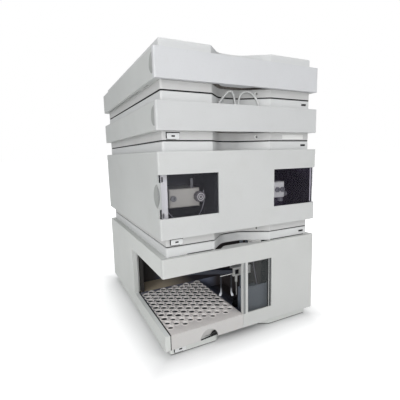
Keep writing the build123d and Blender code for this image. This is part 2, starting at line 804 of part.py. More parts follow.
save(make_tube(RIGHT_LOOP, TUBE_D, 6), "degasser_tube_right")

# ------------------------------------------------------------------ lamps, outlets and the sampler's funnel
with BuildPart() as status_lamps:
    for name, z0, z1 in RISERS[:3]:
        with Locations((LAMP_X, Y_BODY + SKIN / 2 - 0.3, z1 - LAMP_DROP)):
            Box(LAMP_W, SKIN + 0.6, LAMP_H)
save(status_lamps, "status_lamps")

ramp = Vector(SCOOP_RIGHT - SCOOP_FLAT_RIGHT, -SCOOP_DEPTH, 0).normalized()
outlet_y = Y_SCOOP - (OUTLET_X - SCOOP_FLAT_RIGHT) * SCOOP_DEPTH / (SCOOP_RIGHT - SCOOP_FLAT_RIGHT)
with BuildPart() as leak_outlets:
    for name, z0, z1 in RISERS:
        seat = Plane(
            origin=(OUTLET_X, outlet_y, z0 + OUTLET_RISE),
            x_dir=(0, 0, 1),
            z_dir=(ramp.Y, -ramp.X, 0),
        )
        with BuildSketch(seat):
            RegularPolygon(OUTLET_D / 2, 12)
            RegularPolygon(OUTLET_BORE / 2, 12, mode=Mode.SUBTRACT)
        extrude(amount=OUTLET_OUT)
save(leak_outlets, "leak_outlets")

FUNNEL_D = 21.0
FUNNEL_X = 35.0
FUNNEL_Y = Y_FRONT + 20.0
FUNNEL_H = 18.0
FUNNEL_NECK = 6.0
FUNNEL_WALL = 1.4
FUNNEL_SIDES = 16
funnel_top = Z_PUMP - LID_H - FIT
funnel_slope = degrees(atan2((FUNNEL_D - FUNNEL_NECK) / 2, FUNNEL_H))
with BuildPart() as leak_funnel:
    with Locations((FUNNEL_X, (FUNNEL_Y + Y_CORE) / 2 + FUNNEL_NECK / 2, funnel_top - FUNNEL_H / 2)):
        Box(FUNNEL_NECK, Y_CORE - FUNNEL_Y - FUNNEL_NECK, FUNNEL_H)
    for wall, mode in ((0, Mode.ADD), (FUNNEL_WALL, Mode.SUBTRACT)):
        with BuildSketch(Plane.XY.offset(funnel_top)):
            with Locations((FUNNEL_X, FUNNEL_Y)):
                RegularPolygon(FUNNEL_D / 2 - wall, FUNNEL_SIDES)
        extrude(amount=-FUNNEL_H, taper=funnel_slope, mode=mode)
save(leak_funnel, "leak_funnel")

# ================================================================== pump
HEAD_W = 60.0
HEAD_H = 34.0
HEAD_LEFT_X = 61.0 - X_OUT
HEAD_RIGHT_X = X_OUT - 80.5
HEAD_RISE = 80.5  # middle above the underside of the pump
HEAD_FRONT = Y_FRONT + 36.5
HEAD_EDGE = 1.5
BAY_LOW = 38.0
BAY_HIGH = 142.0
BAY_IN = 23.5  # bays, in from the side panels
BAY_W = 103.0
BAY_X_LEFT = (BAY_IN - X_OUT, BAY_IN - X_OUT + BAY_W)
BAY_X_RIGHT = (X_OUT - BAY_IN - BAY_W, X_OUT - BAY_IN)
KNOB_D = 20.0
KNOB_T = 11.0
KNOB_X = 27.0  # from the middle of the left head
KNOB_PIN = 6.0
SCREW_D = 10.8
SCREW_T = 4.0
SCREW_X = 23.0
SOCKET_D = 5.6
VALVE_D = 5.0
VALVE_H = 17.0
INLET_NUT_D = 12.0

bay_back = Y_CORE + BAY_DEPTH
z_head = Z_PUMP + HEAD_RISE
strip_front = Y_COVER + STRIP_SET
pump_core = make_core(Z_PUMP, Z_DEGASSER)
with BuildPart() as pump_chassis:
    add(pump_core.part)
    for x_low, x_high in (BAY_X_LEFT, BAY_X_RIGHT):
        with Locations(((x_low + x_high) / 2, Y_CORE, Z_PUMP + (BAY_LOW + BAY_HIGH) / 2)):
            Box(x_high - x_low, 2 * BAY_DEPTH, BAY_HIGH - BAY_LOW, mode=Mode.SUBTRACT)
    fan_well(*fans["pump"])
    # slotted sheet flanges that the cover clips to, one beside each bay
    z_low = Z_PUMP + BASE_H + PANEL + FIT
    z_high = Z_DEGASSER - LID_H - PANEL - FIT
    for side in (-1, 1):
        web = side * (X_CORE - STRIP_T / 2)
        with Locations((web, (strip_front + Y_CORE) / 2, (z_low + z_high) / 2)):
            Box(STRIP_T, Y_CORE - strip_front, z_high - z_low)
        with BuildSketch(Plane.XZ.offset(-strip_front)):
            with Locations((side * (X_CORE + STRIP_T), (z_low + z_high) / 2)):
                Rectangle(STRIP_W, z_high - z_low)
            for z_slot in (pump_win_low + SLOT_H / 2 - 1.0, pump_win_high - SLOT_H):
                with Locations((side * (X_CORE + STRIP_T + STRIP_W / 4), z_slot)):
                    Rectangle(SLOT_W, SLOT_H, mode=Mode.SUBTRACT)
        extrude(amount=-STRIP_T)
save(pump_chassis, "pump_chassis")


def make_head(x_mid, with_pin):
    """One pump head: a machined block bolted into its bay."""
    with BuildPart() as head:
        with BuildSketch(Plane.XZ.offset(-bay_back)):
            with Locations((x_mid, z_head)):
                Rectangle(HEAD_W, HEAD_H)
        extrude(amount=bay_back - HEAD_FRONT)
        chamfer(head.faces().sort_by(Axis.Y)[0].edges(), length=HEAD_EDGE)
        if with_pin:
            with BuildSketch(Plane.XZ.offset(-HEAD_FRONT)):
                with Locations((x_mid + KNOB_X, z_head + 1)):
                    Circle(KNOB_PIN / 2)
            extrude(amount=KNOB_T * 0.7)
    return head


save(make_head(HEAD_LEFT_X, True), "pump_head_left")
save(make_head(HEAD_RIGHT_X, False), "pump_head_right")

with BuildPart() as purge_knob:
    knob_back = HEAD_FRONT - FIT
    with BuildSketch(Plane.XZ.offset(-knob_back)):
        with Locations((HEAD_LEFT_X + KNOB_X, z_head + 1)):
            Circle(KNOB_D / 2)
    extrude(amount=KNOB_T)
    chamfer(purge_knob.faces().sort_by(Axis.Y)[0].edges(), length=1.0)
    with BuildSketch(Plane.XZ.offset(-knob_back + KNOB_T)):
        with Locations((HEAD_LEFT_X + KNOB_X, z_head + 1)):
            Circle(KNOB_D * 0.36)
            Circle(KNOB_D * 0.2, mode=Mode.SUBTRACT)
    extrude(amount=-1.5, mode=Mode.SUBTRACT)
    with BuildSketch(Plane.XZ.offset(-knob_back)):
        with Locations((HEAD_LEFT_X + KNOB_X, z_head + 1)):
            Circle(KNOB_PIN / 2 + RAIL_FIT)
    extrude(amount=KNOB_T * 0.75, mode=Mode.SUBTRACT)
    # grip flutes round the rim
    with BuildSketch(Plane.XZ.offset(-knob_back)):
        with Locations((HEAD_LEFT_X + KNOB_X, z_head + 1)):
            with PolarLocations(KNOB_D / 2 + 0.8, 8):
                RegularPolygon(1.8, 6)
    extrude(amount=KNOB_T, mode=Mode.SUBTRACT)
save(purge_knob, "purge_knob")

with BuildPart() as pump_fittings:
    # socket screws on both heads
    for x in (HEAD_LEFT_X - SCREW_X, HEAD_RIGHT_X + SCREW_X, HEAD_RIGHT_X + SCREW_X - 13.0):
        with BuildSketch(Plane.XZ.offset(-HEAD_FRONT)):
            with Locations((x, z_head)):
                RegularPolygon(SCREW_D / 2, 16)
        extrude(amount=SCREW_T)
        with BuildSketch(Plane.XZ.offset(-HEAD_FRONT + SCREW_T)):
            with Locations((x, z_head)):
                RegularPolygon(SOCKET_D / 2, 6)
        extrude(amount=-SCREW_T * 0.7, mode=Mode.SUBTRACT)
    # outlet valves standing on the heads
    for x in (HEAD_LEFT_X + 18.0, HEAD_RIGHT_X - 12.0):
        with BuildSketch(Plane.XY.offset(z_head + HEAD_H / 2)):
            with Locations((x, HEAD_FRONT + 8)):
                RegularPolygon(VALVE_D / 2, 16)
        extrude(amount=VALVE_H)
    # inlet fittings of the right head
    with BuildSketch(Plane.XY.offset(z_head - HEAD_H / 2)):
        with Locations((HEAD_RIGHT_X + 25.0, HEAD_FRONT + 8)):
            RegularPolygon(INLET_NUT_D / 2, 16)
    extrude(amount=-9.0)
    with BuildSketch(Plane.YZ.offset(HEAD_RIGHT_X + HEAD_W / 2)):
        with Locations((HEAD_FRONT + 8, z_head - HEAD_H / 2 + 6)):
            RegularPolygon(INLET_NUT_D / 2 - 1, 16)
    extrude(amount=11.0)
save(pump_fittings, "pump_fittings")

CAPILLARY_D = 1.6
cap_low = Z_PUMP + BAY_LOW + CAPILLARY_D
head_left_edge = HEAD_LEFT_X - HEAD_W / 2
CAPILLARY_RIGHT = [
    (HEAD_LEFT_X + KNOB_X + 10.5, HEAD_FRONT - 1.2, z_head + 12.0),
    (HEAD_LEFT_X + KNOB_X + 11.5, HEAD_FRONT - 3.0, z_head - 6.0),
    (HEAD_LEFT_X + KNOB_X + 6.0, HEAD_FRONT - 4.0, z_head - 22.0),
    (HEAD_LEFT_X + KNOB_X + 3.0, HEAD_FRONT + 10.0, cap_low),
]
CAPILLARY_LEFT = [
    (head_left_edge - 1.2, HEAD_FRONT + 12.0, z_head - 10.0),
    (head_left_edge - 5.0, HEAD_FRONT + 6.0, z_head - 18.0),
    (head_left_edge + 3.0, HEAD_FRONT + 3.0, z_head - 31.0),
    (head_left_edge + 16.0, HEAD_FRONT + 10.0, cap_low),
]
with BuildPart() as pump_capillaries:
    add(make_tube(CAPILLARY_LEFT, CAPILLARY_D, 6).part)
    add(make_tube(CAPILLARY_RIGHT, CAPILLARY_D, 6).part)
save(pump_capillaries, "pump_capillaries")

# ================================================================== sampler
tray_left = -X_OUT + SILL_W + TRAY_SILL_GAP
tray_right = OPEN_RIGHT - TRAY_GAP
tray_bottom = BAY_FLOOR + 0.3
tray_top = Z_SAMPLER + OPEN_LOW
front_wall = Y_BODY - FIT - Y_FRONT

NEEDLE_X = 27.0
NEEDLE_Y = Y_FRONT + 81.5
BLOCK_LEFT = 22.0
BLOCK_FRONT = Y_FRONT + 41.5
BLOCK_BACK = BLOCK_FRONT + 26.0
BLOCK_TOP = 70.0
ROD_D = 8.0
GUIDE_D = 6.0
ROD_X = 41.0
GUIDE_X = 55.0

sampler_core = make_core(Z_SAMPLER, Z_PUMP)
with BuildPart() as sampler_chassis:
    add(sampler_core.part)
    # floor of the tray bay, over the rim of the base
    floor_front = Y_BODY + FIT
    floor_left = -X_OUT + SILL_W + TRAY_GAP / 2
    with Locations(
        (
            (floor_left + X_CORE) / 2,
            (floor_front + Y_CORE) / 2 + 2,
            (BASE_H + BAY_FLOOR) / 2,
        )
    ):
        Box(X_CORE - floor_left, Y_CORE - floor_front + 4, BAY_FLOOR - BASE_H)
    # chamber over the tray, open to the front and, under the arm, to the left
    chamber_left = -X_CORE + 2.5 * PANEL
    with Locations(
        (
            (-X_OUT + CHAMBER_RIGHT) / 2,
            (Y_CORE - 1 + OPEN_REAR - 2) / 2,
            (BAY_FLOOR + OPEN_HIGH) / 2,
        )
    ):
        Box(CHAMBER_RIGHT + X_OUT, OPEN_REAR - 2 - Y_CORE + 1, OPEN_HIGH - BAY_FLOOR, mode=Mode.SUBTRACT)
    with Locations(
        (
            (chamber_left + CHAMBER_RIGHT) / 2,
            (Y_CORE - 1 + CHAMBER_REAR) / 2,
            (tray_top - 1 + CHAMBER_TOP) / 2,
        )
    ):
        Box(CHAMBER_RIGHT - chamber_left, CHAMBER_REAR - Y_CORE + 1, CHAMBER_TOP - tray_top + 1, mode=Mode.SUBTRACT)
    # the stepped reveal of the side panel stands in this corner
    with Locations((-X_CORE, OPEN_REAR + 4, (tray_top + OPEN_HIGH) / 2)):
        Box(2 * FIT + 1, 16, OPEN_HIGH - tray_top + 2 * FIT, mode=Mode.SUBTRACT)
    for z in (RAIL_LOW, RAIL_HIGH):
        with BuildSketch(Plane.YZ.offset(-X_CORE + PANEL)):
            with Locations((RAIL_Y, z)):
                Circle(RAIL_D / 2 + RAIL_FIT)
        extrude(amount=X_CORE - PANEL + CHAMBER_RIGHT + 2 * PANEL, mode=Mode.SUBTRACT)
    fan_well(*fans["sampler"])
save(sampler_chassis, "sampler_chassis")

well_dx = WELL_PITCH * sqrt(3) / 2
WELL_COLUMNS = int((tray_right - tray_left - 2 * WELL_LEFT) / well_dx) + 1
WELL_ROWS = int((TRAY_BACK - Y_FRONT - WELL_FRONT - WELL_LEFT) / WELL_PITCH - 0.5) + 1
TRAY_GRIP_X = (tray_left + tray_right) / 2
wells = [
    (
        tray_left + WELL_LEFT + column * well_dx,
        Y_FRONT + WELL_FRONT + (row + 0.5 * (column % 2)) * WELL_PITCH,
    )
    for column in range(WELL_COLUMNS)
    for row in range(WELL_ROWS)
]
grip_sink = front_wall - TRAY_WALL
grip_ball = (TRAY_GRIP_R**2 + grip_sink**2) / (2 * grip_sink)
with BuildPart() as vial_tray:
    with BuildSketch(Plane.XY.offset(tray_bottom)):
        with BuildLine():
            Polyline(
                (tray_left, Y_FRONT),
                (tray_right, Y_FRONT),
                (tray_right, TRAY_BACK),
                (tray_left, TRAY_BACK),
                close=True,
            )
        make_face()
    extrude(amount=tray_top - tray_bottom)
    # front lip hanging before the rim of the base
    with Locations(((tray_left + tray_right) / 2, Y_FRONT + front_wall / 2, (BASE_H + FIT + tray_bottom) / 2)):
        Box(tray_right - tray_left, front_wall, tray_bottom - BASE_H - FIT)
    inner_front = Y_FRONT + front_wall
    inner_back = TRAY_BACK - TRAY_WALL
    with Locations(
        (
            (tray_left + tray_right) / 2,
            (inner_front + inner_back) / 2,
            (tray_bottom + TRAY_FLOOR + tray_top - TRAY_TOP) / 2,
        )
    ):
        Box(
            tray_right - tray_left - 2 * TRAY_WALL,
            inner_back - inner_front,
            tray_top - TRAY_TOP - tray_bottom - TRAY_FLOOR,
            mode=Mode.SUBTRACT,
        )
    with BuildSketch(Plane.XY.offset(tray_top)):
        with Locations(*wells):
            RegularPolygon(WELL_D / 2, WELL_SIDES)
    extrude(amount=-TRAY_TOP - 0.5, mode=Mode.SUBTRACT)
    with Locations((TRAY_GRIP_X, Y_FRONT - grip_ball + grip_sink, BASE_H + FIT)):
        Sphere(radius=grip_ball, mode=Mode.SUBTRACT)
    # finger slot along the foot of the hollow
    with Locations((TRAY_GRIP_X, Y_FRONT + front_wall / 2, BASE_H + FIT)):
        Box(TRAY_SLOT_W, front_wall, 2 * TRAY_SLOT_H, mode=Mode.SUBTRACT)
save(vial_tray, "vial_tray")

# ------------------------------------------------------------------ transport
with BuildPart() as transport_rail:
    for z in (RAIL_LOW, RAIL_HIGH):
        with BuildSketch(Plane.YZ.offset(-X_CORE + PANEL + FIT)):
            with Locations((RAIL_Y, z)):
                Circle(RAIL_D / 2)
        extrude(amount=X_CORE - PANEL + CHAMBER_RIGHT + 2 * PANEL - 2 * FIT)
save(transport_rail, "transport_rail")

CARRIAGE_BACK = RAIL_Y + 12.0
CARRIAGE_FRONT = RAIL_Y - 11.0
TONGUE_W = 8.0
TONGUE_T = 3.5
SLIDE_GAP = 0.3
SLIDER_W = 26.0
SLIDER_LOW = 118.0
SLIDER_H = 47.0
SLIDER_FRONT = CARRIAGE_FRONT - 27.0
SLIDER_LIFT = 28.0  # its travel upwards
GUIDE_LOW = SLIDER_LOW + SLIDER_LIFT + SLIDE_GAP  # clear over the arm, which swings under it
GUIDE_HIGH = SLIDER_LOW + SLIDER_LIFT + SLIDER_H

with BuildPart() as transport_carriage:
    with BuildSketch(Plane.YZ.offset(CARRIAGE_X - CARRIAGE_W / 2)):
        with BuildLine():
            Polyline(
                (CARRIAGE_FRONT, GUIDE_LOW),
                (CARRIAGE_FRONT + 5, GUIDE_LOW),
                (CARRIAGE_BACK, RAIL_LOW - RAIL_D),
                (CARRIAGE_BACK, GUIDE_HIGH),
                (CARRIAGE_FRONT, GUIDE_HIGH),
                close=True,
            )
        make_face()
        with Locations((RAIL_Y, RAIL_LOW), (RAIL_Y, RAIL_HIGH)):
            Circle(RAIL_D / 2 + RAIL_FIT, mode=Mode.SUBTRACT)
    extrude(amount=CARRIAGE_W)
    with Locations((CARRIAGE_X, CARRIAGE_FRONT - TONGUE_T / 2, (GUIDE_LOW + GUIDE_HIGH) / 2)):
        Box(TONGUE_W, TONGUE_T, GUIDE_HIGH - GUIDE_LOW)
save(transport_carriage, "transport_carriage")

with BuildPart() as transport_slider:
    with BuildSketch(Plane.XY.offset(SLIDER_LOW)):
        with BuildLine():
            FilletPolyline(
                (CARRIAGE_X - SLIDER_W / 2, CARRIAGE_FRONT - SLIDE_GAP),
                (CARRIAGE_X - TONGUE_W / 2 - SLIDE_GAP, CARRIAGE_FRONT - SLIDE_GAP),
                (CARRIAGE_X - TONGUE_W / 2 - SLIDE_GAP, CARRIAGE_FRONT - TONGUE_T - SLIDE_GAP),
                (CARRIAGE_X + TONGUE_W / 2 + SLIDE_GAP, CARRIAGE_FRONT - TONGUE_T - SLIDE_GAP),
                (CARRIAGE_X + TONGUE_W / 2 + SLIDE_GAP, CARRIAGE_FRONT - SLIDE_GAP),
                (CARRIAGE_X + SLIDER_W / 2, CARRIAGE_FRONT - SLIDE_GAP),
                (CARRIAGE_X + SLIDER_W / 2, SLIDER_FRONT),
                (CARRIAGE_X - SLIDER_W / 2, SLIDER_FRONT),
                radius=[0, 0, 0, 0, 0, 0, 4, 4],
                close=True,
            )
        make_face()
    extrude(amount=SLIDER_H)
    # pivot pin of the arm, with its end cap
    with BuildSketch(Plane.XY.offset(SLIDER_LOW)):
        with Locations((CARRIAGE_X, ARM_Y)):
            Circle(PIVOT_D / 2)
    extrude(amount=ARM_LOW - SLIDER_LOW - SLIDE_GAP - 1)
    with BuildSketch(Plane.XY.offset(ARM_LOW - SLIDE_GAP)):
        with Locations((CARRIAGE_X, ARM_Y)):
            Circle(PIVOT_D / 2 + 2)
    extrude(amount=-1.8)
save(transport_slider, "transport_slider")

ARM_ANGLE = -28.0
HEAD_HALF_L = 14.0
HEAD_HALF_W = 6.5
ARM_W_ROOT = 15.0
ARM_W_TIP = 10.0
FINGER_T = 3.0
FINGER_W = 5.4
FINGER_TENON = 3.6
FINGER_FOOT = 3.0
FINGER_SHUT = 5.0  # travel of each finger towards the middle
arm_dir = (cos(radians(ARM_ANGLE)), sin(radians(ARM_ANGLE)), 0)
arm_plane = Plane(origin=(CARRIAGE_X, ARM_Y, ARM_LOW), x_dir=arm_dir, z_dir=(0, 0, 1))
hub_top = SLIDER_LOW - SLIDE_GAP - ARM_LOW

with BuildPart() as gripper_arm:
    with BuildSketch(arm_plane):
        Circle(HUB_D / 2)
    extrude(amount=hub_top)
    with BuildSketch(arm_plane):
        with BuildLine():
            Polyline(
                (0, -ARM_W_ROOT / 2),
                (ARM_REACH - HEAD_HALF_L, -ARM_W_TIP / 2),
                (ARM_REACH - HEAD_HALF_L, -HEAD_HALF_W),
                (ARM_REACH + HEAD_HALF_L, -HEAD_HALF_W),
                (ARM_REACH + HEAD_HALF_L, HEAD_HALF_W),
                (ARM_REACH - HEAD_HALF_L, HEAD_HALF_W),
                (ARM_REACH - HEAD_HALF_L, ARM_W_TIP / 2),
                (0, ARM_W_ROOT / 2),
                close=True,
            )
        make_face()
    extrude(amount=ARM_T)
    with BuildSketch(arm_plane):
        Circle(PIVOT_D / 2 + RAIL_FIT)
    extrude(amount=hub_top, mode=Mode.SUBTRACT)
    # slot in the underside of the head, where the fingers' tenons run
    with BuildSketch(arm_plane):
        with Locations((ARM_REACH, 0)):
            Rectangle(FINGER_GAP + 2 * FINGER_T + 2 * SLIDE_GAP, FINGER_W + 2 * SLIDE_GAP)
    extrude(amount=FINGER_TENON + SLIDE_GAP, mode=Mode.SUBTRACT)
save(gripper_arm, "gripper_arm")


def make_finger(side):
    """Gripper finger with its tenon in the arm's head and a foot turned out at its tip."""
    tip = -FINGER_DROP
    inner = side * FINGER_GAP / 2
    outer = side * (FINGER_GAP / 2 + FINGER_T)
    section = Plane(
        origin=arm_plane.from_local_coords(Vector(ARM_REACH, FINGER_W / 2, 0)),
        x_dir=arm_dir,
        z_dir=(arm_dir[1], -arm_dir[0], 0),
    )
    with BuildPart() as finger:
        with BuildSketch(section):
            with BuildLine():
                Polyline(
                    (inner, FINGER_TENON),
                    (outer, FINGER_TENON),
                    (outer, tip + 7.0),
                    (outer + side * FINGER_FOOT, tip + 2.0),
                    (outer + side * FINGER_FOOT, tip),
                    (inner + side * 1.5, tip),
                    (inner, tip + 5.0),
                    close=True,
                )
            make_face()
        extrude(amount=FINGER_W)
    return finger


save(make_finger(-1), "gripper_finger_near")
save(make_finger(1), "gripper_finger_far")

# ------------------------------------------------------------------ sampling unit
ARM_BOX_LEFT = 15.0
ARM_BOX_RIGHT = 61.0
ARM_BOX_LOW = 92.0
ARM_BOX_H = 19.0
ARM_BOX_HALF = 7.0
RECESS_LEFT = 18.5
RECESS_W = 12.5
RECESS_H = 12.0
RECESS_DEEP = 2.5
NEEDLE_D = 1.6
NEEDLE_HOLDER = 16.0
NEEDLE_TIP = 44.0
CUP_D = 15.0
CUP_FOOT = 4.0
CUP_TOP = 34.0
CUP_BORE = 8.0
CUP_DEPTH = 14.0
PORT_NUT_D = 6.0
PORT_NUT_H = 5.0
PORT_NUT_X = 48.0
PORT_NUT_Z = 38.0

with BuildPart() as sampling_frame:
    with BuildSketch(Plane.YZ.offset(BLOCK_LEFT)):
        with BuildLine():
            Polyline(
                (BLOCK_FRONT, BAY_FLOOR),
                (BLOCK_BACK, BAY_FLOOR),
                (BLOCK_BACK, BLOCK_TOP),
                (BLOCK_FRONT + 3, BLOCK_TOP),
                (BLOCK_FRONT, BLOCK_TOP - 3),
                close=True,
            )
        make_face()
    extrude(amount=CHAMBER_RIGHT - FIT - BLOCK_LEFT)
    with BuildSketch(Plane.XZ.offset(-BLOCK_FRONT)):
        with Locations((PORT_NUT_X, PORT_NUT_Z)):
            RegularPolygon(PORT_NUT_D / 2, 6)
    extrude(amount=PORT_NUT_H)
    for x, d in ((ROD_X, ROD_D), (GUIDE_X, GUIDE_D)):
        with BuildSketch(Plane.XY.offset(BAY_FLOOR)):
            with Locations((x, NEEDLE_Y)):
                Circle(d / 2)
        extrude(amount=CHAMBER_TOP - FIT - BAY_FLOOR)
save(sampling_frame, "sampling_frame")

with BuildPart() as needle_arm:
    with BuildSketch(Plane.XY.offset(ARM_BOX_LOW)):
        with BuildLine():
            Polyline(
                (ARM_BOX_LEFT, NEEDLE_Y - ARM_BOX_HALF),
                (ARM_BOX_RIGHT, NEEDLE_Y - ARM_BOX_HALF),
                (ARM_BOX_RIGHT, NEEDLE_Y + ARM_BOX_HALF),
                (ARM_BOX_LEFT, NEEDLE_Y + ARM_BOX_HALF),
                close=True,
            )
        make_face()
        with Locations((ROD_X, NEEDLE_Y)):
            Circle(ROD_D / 2 + RAIL_FIT, mode=Mode.SUBTRACT)
        with Locations((GUIDE_X, NEEDLE_Y)):
            Circle(GUIDE_D / 2 + RAIL_FIT, mode=Mode.SUBTRACT)
    extrude(amount=ARM_BOX_H)
    with Locations((RECESS_LEFT + RECESS_W / 2, NEEDLE_Y - ARM_BOX_HALF, ARM_BOX_LOW + ARM_BOX_H / 2)):
        Box(RECESS_W, 2 * RECESS_DEEP, RECESS_H, mode=Mode.SUBTRACT)
    with BuildSketch(Plane.XY.offset(ARM_BOX_LOW)):
        with Locations((NEEDLE_X, NEEDLE_Y)):
            Circle(NEEDLE_D * 1.8)
    extrude(amount=-NEEDLE_HOLDER)
    with BuildSketch(Plane.XY.offset(ARM_BOX_LOW - NEEDLE_HOLDER)):
        with Locations((NEEDLE_X, NEEDLE_Y)):
            Circle(NEEDLE_D / 2)
    extrude(amount=NEEDLE_TIP - ARM_BOX_LOW + NEEDLE_HOLDER)
save(needle_arm, "needle_arm")

with BuildPart() as needle_seat:
    with BuildSketch(Plane.XY.offset(BAY_FLOOR)):
        with Locations((NEEDLE_X, NEEDLE_Y)):
            Circle(CUP_D / 2 + 2)
    extrude(amount=CUP_FOOT)
    with BuildSketch(Plane.XY.offset(BAY_FLOOR + CUP_FOOT)):
        with Locations((NEEDLE_X, NEEDLE_Y)):
            Circle(CUP_D / 2)
    extrude(amount=CUP_TOP - BAY_FLOOR - CUP_FOOT)
    with BuildSketch(Plane.XY.offset(CUP_TOP)):
        with Locations((NEEDLE_X, NEEDLE_Y)):
            Circle(CUP_BORE / 2)
    extrude(amount=-CUP_DEPTH, mode=Mode.SUBTRACT)
save(needle_seat, "needle_seat")

capillary_y = BLOCK_FRONT - 3.0
SAMPLE_CAPILLARY = [
    (CHAMBER_RIGHT - 20.0, BLOCK_FRONT + 9.0, CHAMBER_TOP - 0.1),
    (CHAMBER_RIGHT - 22.5, BLOCK_FRONT + 4.0, BLOCK_TOP + 82.0),
    (CHAMBER_RIGHT - 21.0, capillary_y - 1.0, BLOCK_TOP + 38.0),
    (CHAMBER_RIGHT - 11.0, capillary_y - 1.5, BLOCK_TOP - 8.0),
    (CHAMBER_RIGHT - 2.5, capillary_y, BLOCK_TOP - 33.0),
    (CHAMBER_RIGHT - 4.0, capillary_y + 0.6, BAY_FLOOR + 0.1),
]
save(make_tube(SAMPLE_CAPILLARY, CAPILLARY_D, 6), "sampler_capillary")


# ================================================================== fans
def make_fan(x, z):
    """Axial fan rotor: a hub with pitched blades, turning on the chassis' pin."""
    y_back = Y_SHEET - PANEL
    with BuildPart() as fan:
        with BuildSketch(Plane.XZ.offset(-y_back)):
            with Locations((x, z)):
                Circle(FAN_HUB / 2)
        extrude(amount=FAN_T)
        blade_mid = (FAN_HUB + FAN_D) / 4 - 1
        hub_plane = Plane(origin=(x, y_back - FAN_T / 2, z), x_dir=(1, 0, 0), z_dir=(0, -1, 0))
        with Locations(hub_plane):
            with PolarLocations(blade_mid, FAN_BLADES):
                Box(
                    (FAN_D - FAN_HUB) / 2 + 2,
                    18.0,
                    1.6,
                    rotation=(32, 0, 0),
                )
        with BuildSketch(Plane.XZ.offset(-y_back)):
            with Locations((x, z)):
                Circle(FAN_SHAFT / 2 + RAIL_FIT)
        extrude(amount=FAN_T, mode=Mode.SUBTRACT)
    return fan


save(make_fan(*fans["pump"]), "pump_fan")
save(make_fan(*fans["sampler"]), "sampler_fan")
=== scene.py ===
import math

import bmesh
import bpy
from mathutils import Matrix, Vector


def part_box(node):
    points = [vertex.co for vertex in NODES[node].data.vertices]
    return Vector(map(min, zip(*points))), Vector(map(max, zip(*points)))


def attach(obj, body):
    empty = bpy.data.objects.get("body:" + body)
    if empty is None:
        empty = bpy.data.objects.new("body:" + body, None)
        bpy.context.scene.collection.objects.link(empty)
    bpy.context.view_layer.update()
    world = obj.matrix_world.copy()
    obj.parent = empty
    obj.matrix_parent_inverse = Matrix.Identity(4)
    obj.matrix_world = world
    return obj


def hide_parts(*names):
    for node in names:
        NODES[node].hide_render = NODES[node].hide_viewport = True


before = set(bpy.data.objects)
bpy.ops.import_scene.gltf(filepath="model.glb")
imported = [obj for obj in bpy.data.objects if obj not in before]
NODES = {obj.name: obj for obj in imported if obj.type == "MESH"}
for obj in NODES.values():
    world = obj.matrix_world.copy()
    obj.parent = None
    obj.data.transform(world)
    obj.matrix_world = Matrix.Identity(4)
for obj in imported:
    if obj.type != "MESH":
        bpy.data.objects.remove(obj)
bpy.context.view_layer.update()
MM = 0.001

# ---------------------------------------------------------------- measures of the solids, millimetres
BASES = {"sampler": 0.0, "pump": 200.0, "degasser": 380.0, "upper": 460.0}  # undersides of the modules
TOPS = {"sampler": 200.0, "pump": 380.0, "degasser": 460.0, "upper": 540.0}
BUTTONS = ("sampler", "pump", "degasser")  # modules with a power button
X_BODY = 160.5  # half width of bases and lids
Y_BODY = -208.0  # front of bases and lids
Y_SCOOP = -177.0  # bottom of the scoop in their fronts
Y_BACK = 214.5  # back of bases and lids
Y_SHEET = 213.0  # outer face of the rear sheets
GAP = 2.1  # shadow gap under each base
BUTTON_UP = 8.6  # middle of a power button over its module's underside
X_LEAK = 36.4  # middle of the leak outlets
Z_NUT = 422.4  # top of the degasser's fittings
Z_LOOP = 472.5  # crest of the degasser's tube loops

# ---------------------------------------------------------------- camera at the photograph's viewing angle
FRAME_PX = 400.0
FOCAL_PX = 309.99
SHIFT_PX = (-0.6, 0.75)
YAW, PITCH, ROLL = (math.radians(a) for a in (26.52, 8.24, -1.34))
EYE = (-335.19, -693.0, 355.28)


def camera():
    data = bpy.data.cameras.new("camera")
    data.sensor_fit = "HORIZONTAL"
    data.sensor_width = 36.0
    data.lens = data.sensor_width * FOCAL_PX / FRAME_PX
    data.shift_x = SHIFT_PX[0] / FRAME_PX
    data.shift_y = SHIFT_PX[1] / FRAME_PX
    data.clip_start = 0.01
    cam = bpy.data.objects.new("camera", data)
    level = math.cos(PITCH)
    ahead = Vector((math.sin(YAW) * level, math.cos(YAW) * level, -math.sin(PITCH)))
    right = ahead.cross(Vector((0, 0, 1))).normalized()
    up = right.cross(ahead)
    axes = (
        right * math.cos(ROLL) + up * math.sin(ROLL),
        up * math.cos(ROLL) - right * math.sin(ROLL),
        -ahead,
    )
    cam.matrix_world = Matrix.Translation(Vector(EYE) * MM) @ Matrix(axes).transposed().to_4x4()
    bpy.context.scene.collection.objects.link(cam)
    bpy.context.scene.camera = cam


camera()


# ---------------------------------------------------------------- materials
def lin(r, g, b):
    """Linear colour from 0-255 display values."""

    def one(v):
        v = v / 255.0
        return v / 12.92 if v <= 0.04045 else ((v + 0.055) / 1.055) ** 2.4

    return (one(r), one(g), one(b), 1.0)


def shade(rgb, k):
    """A linear colour made lighter or darker by a factor."""
    return (min(rgb[0] * k, 1), min(rgb[1] * k, 1), min(rgb[2] * k, 1), 1.0)


def grey(v):
    return (v, v, v, 1)


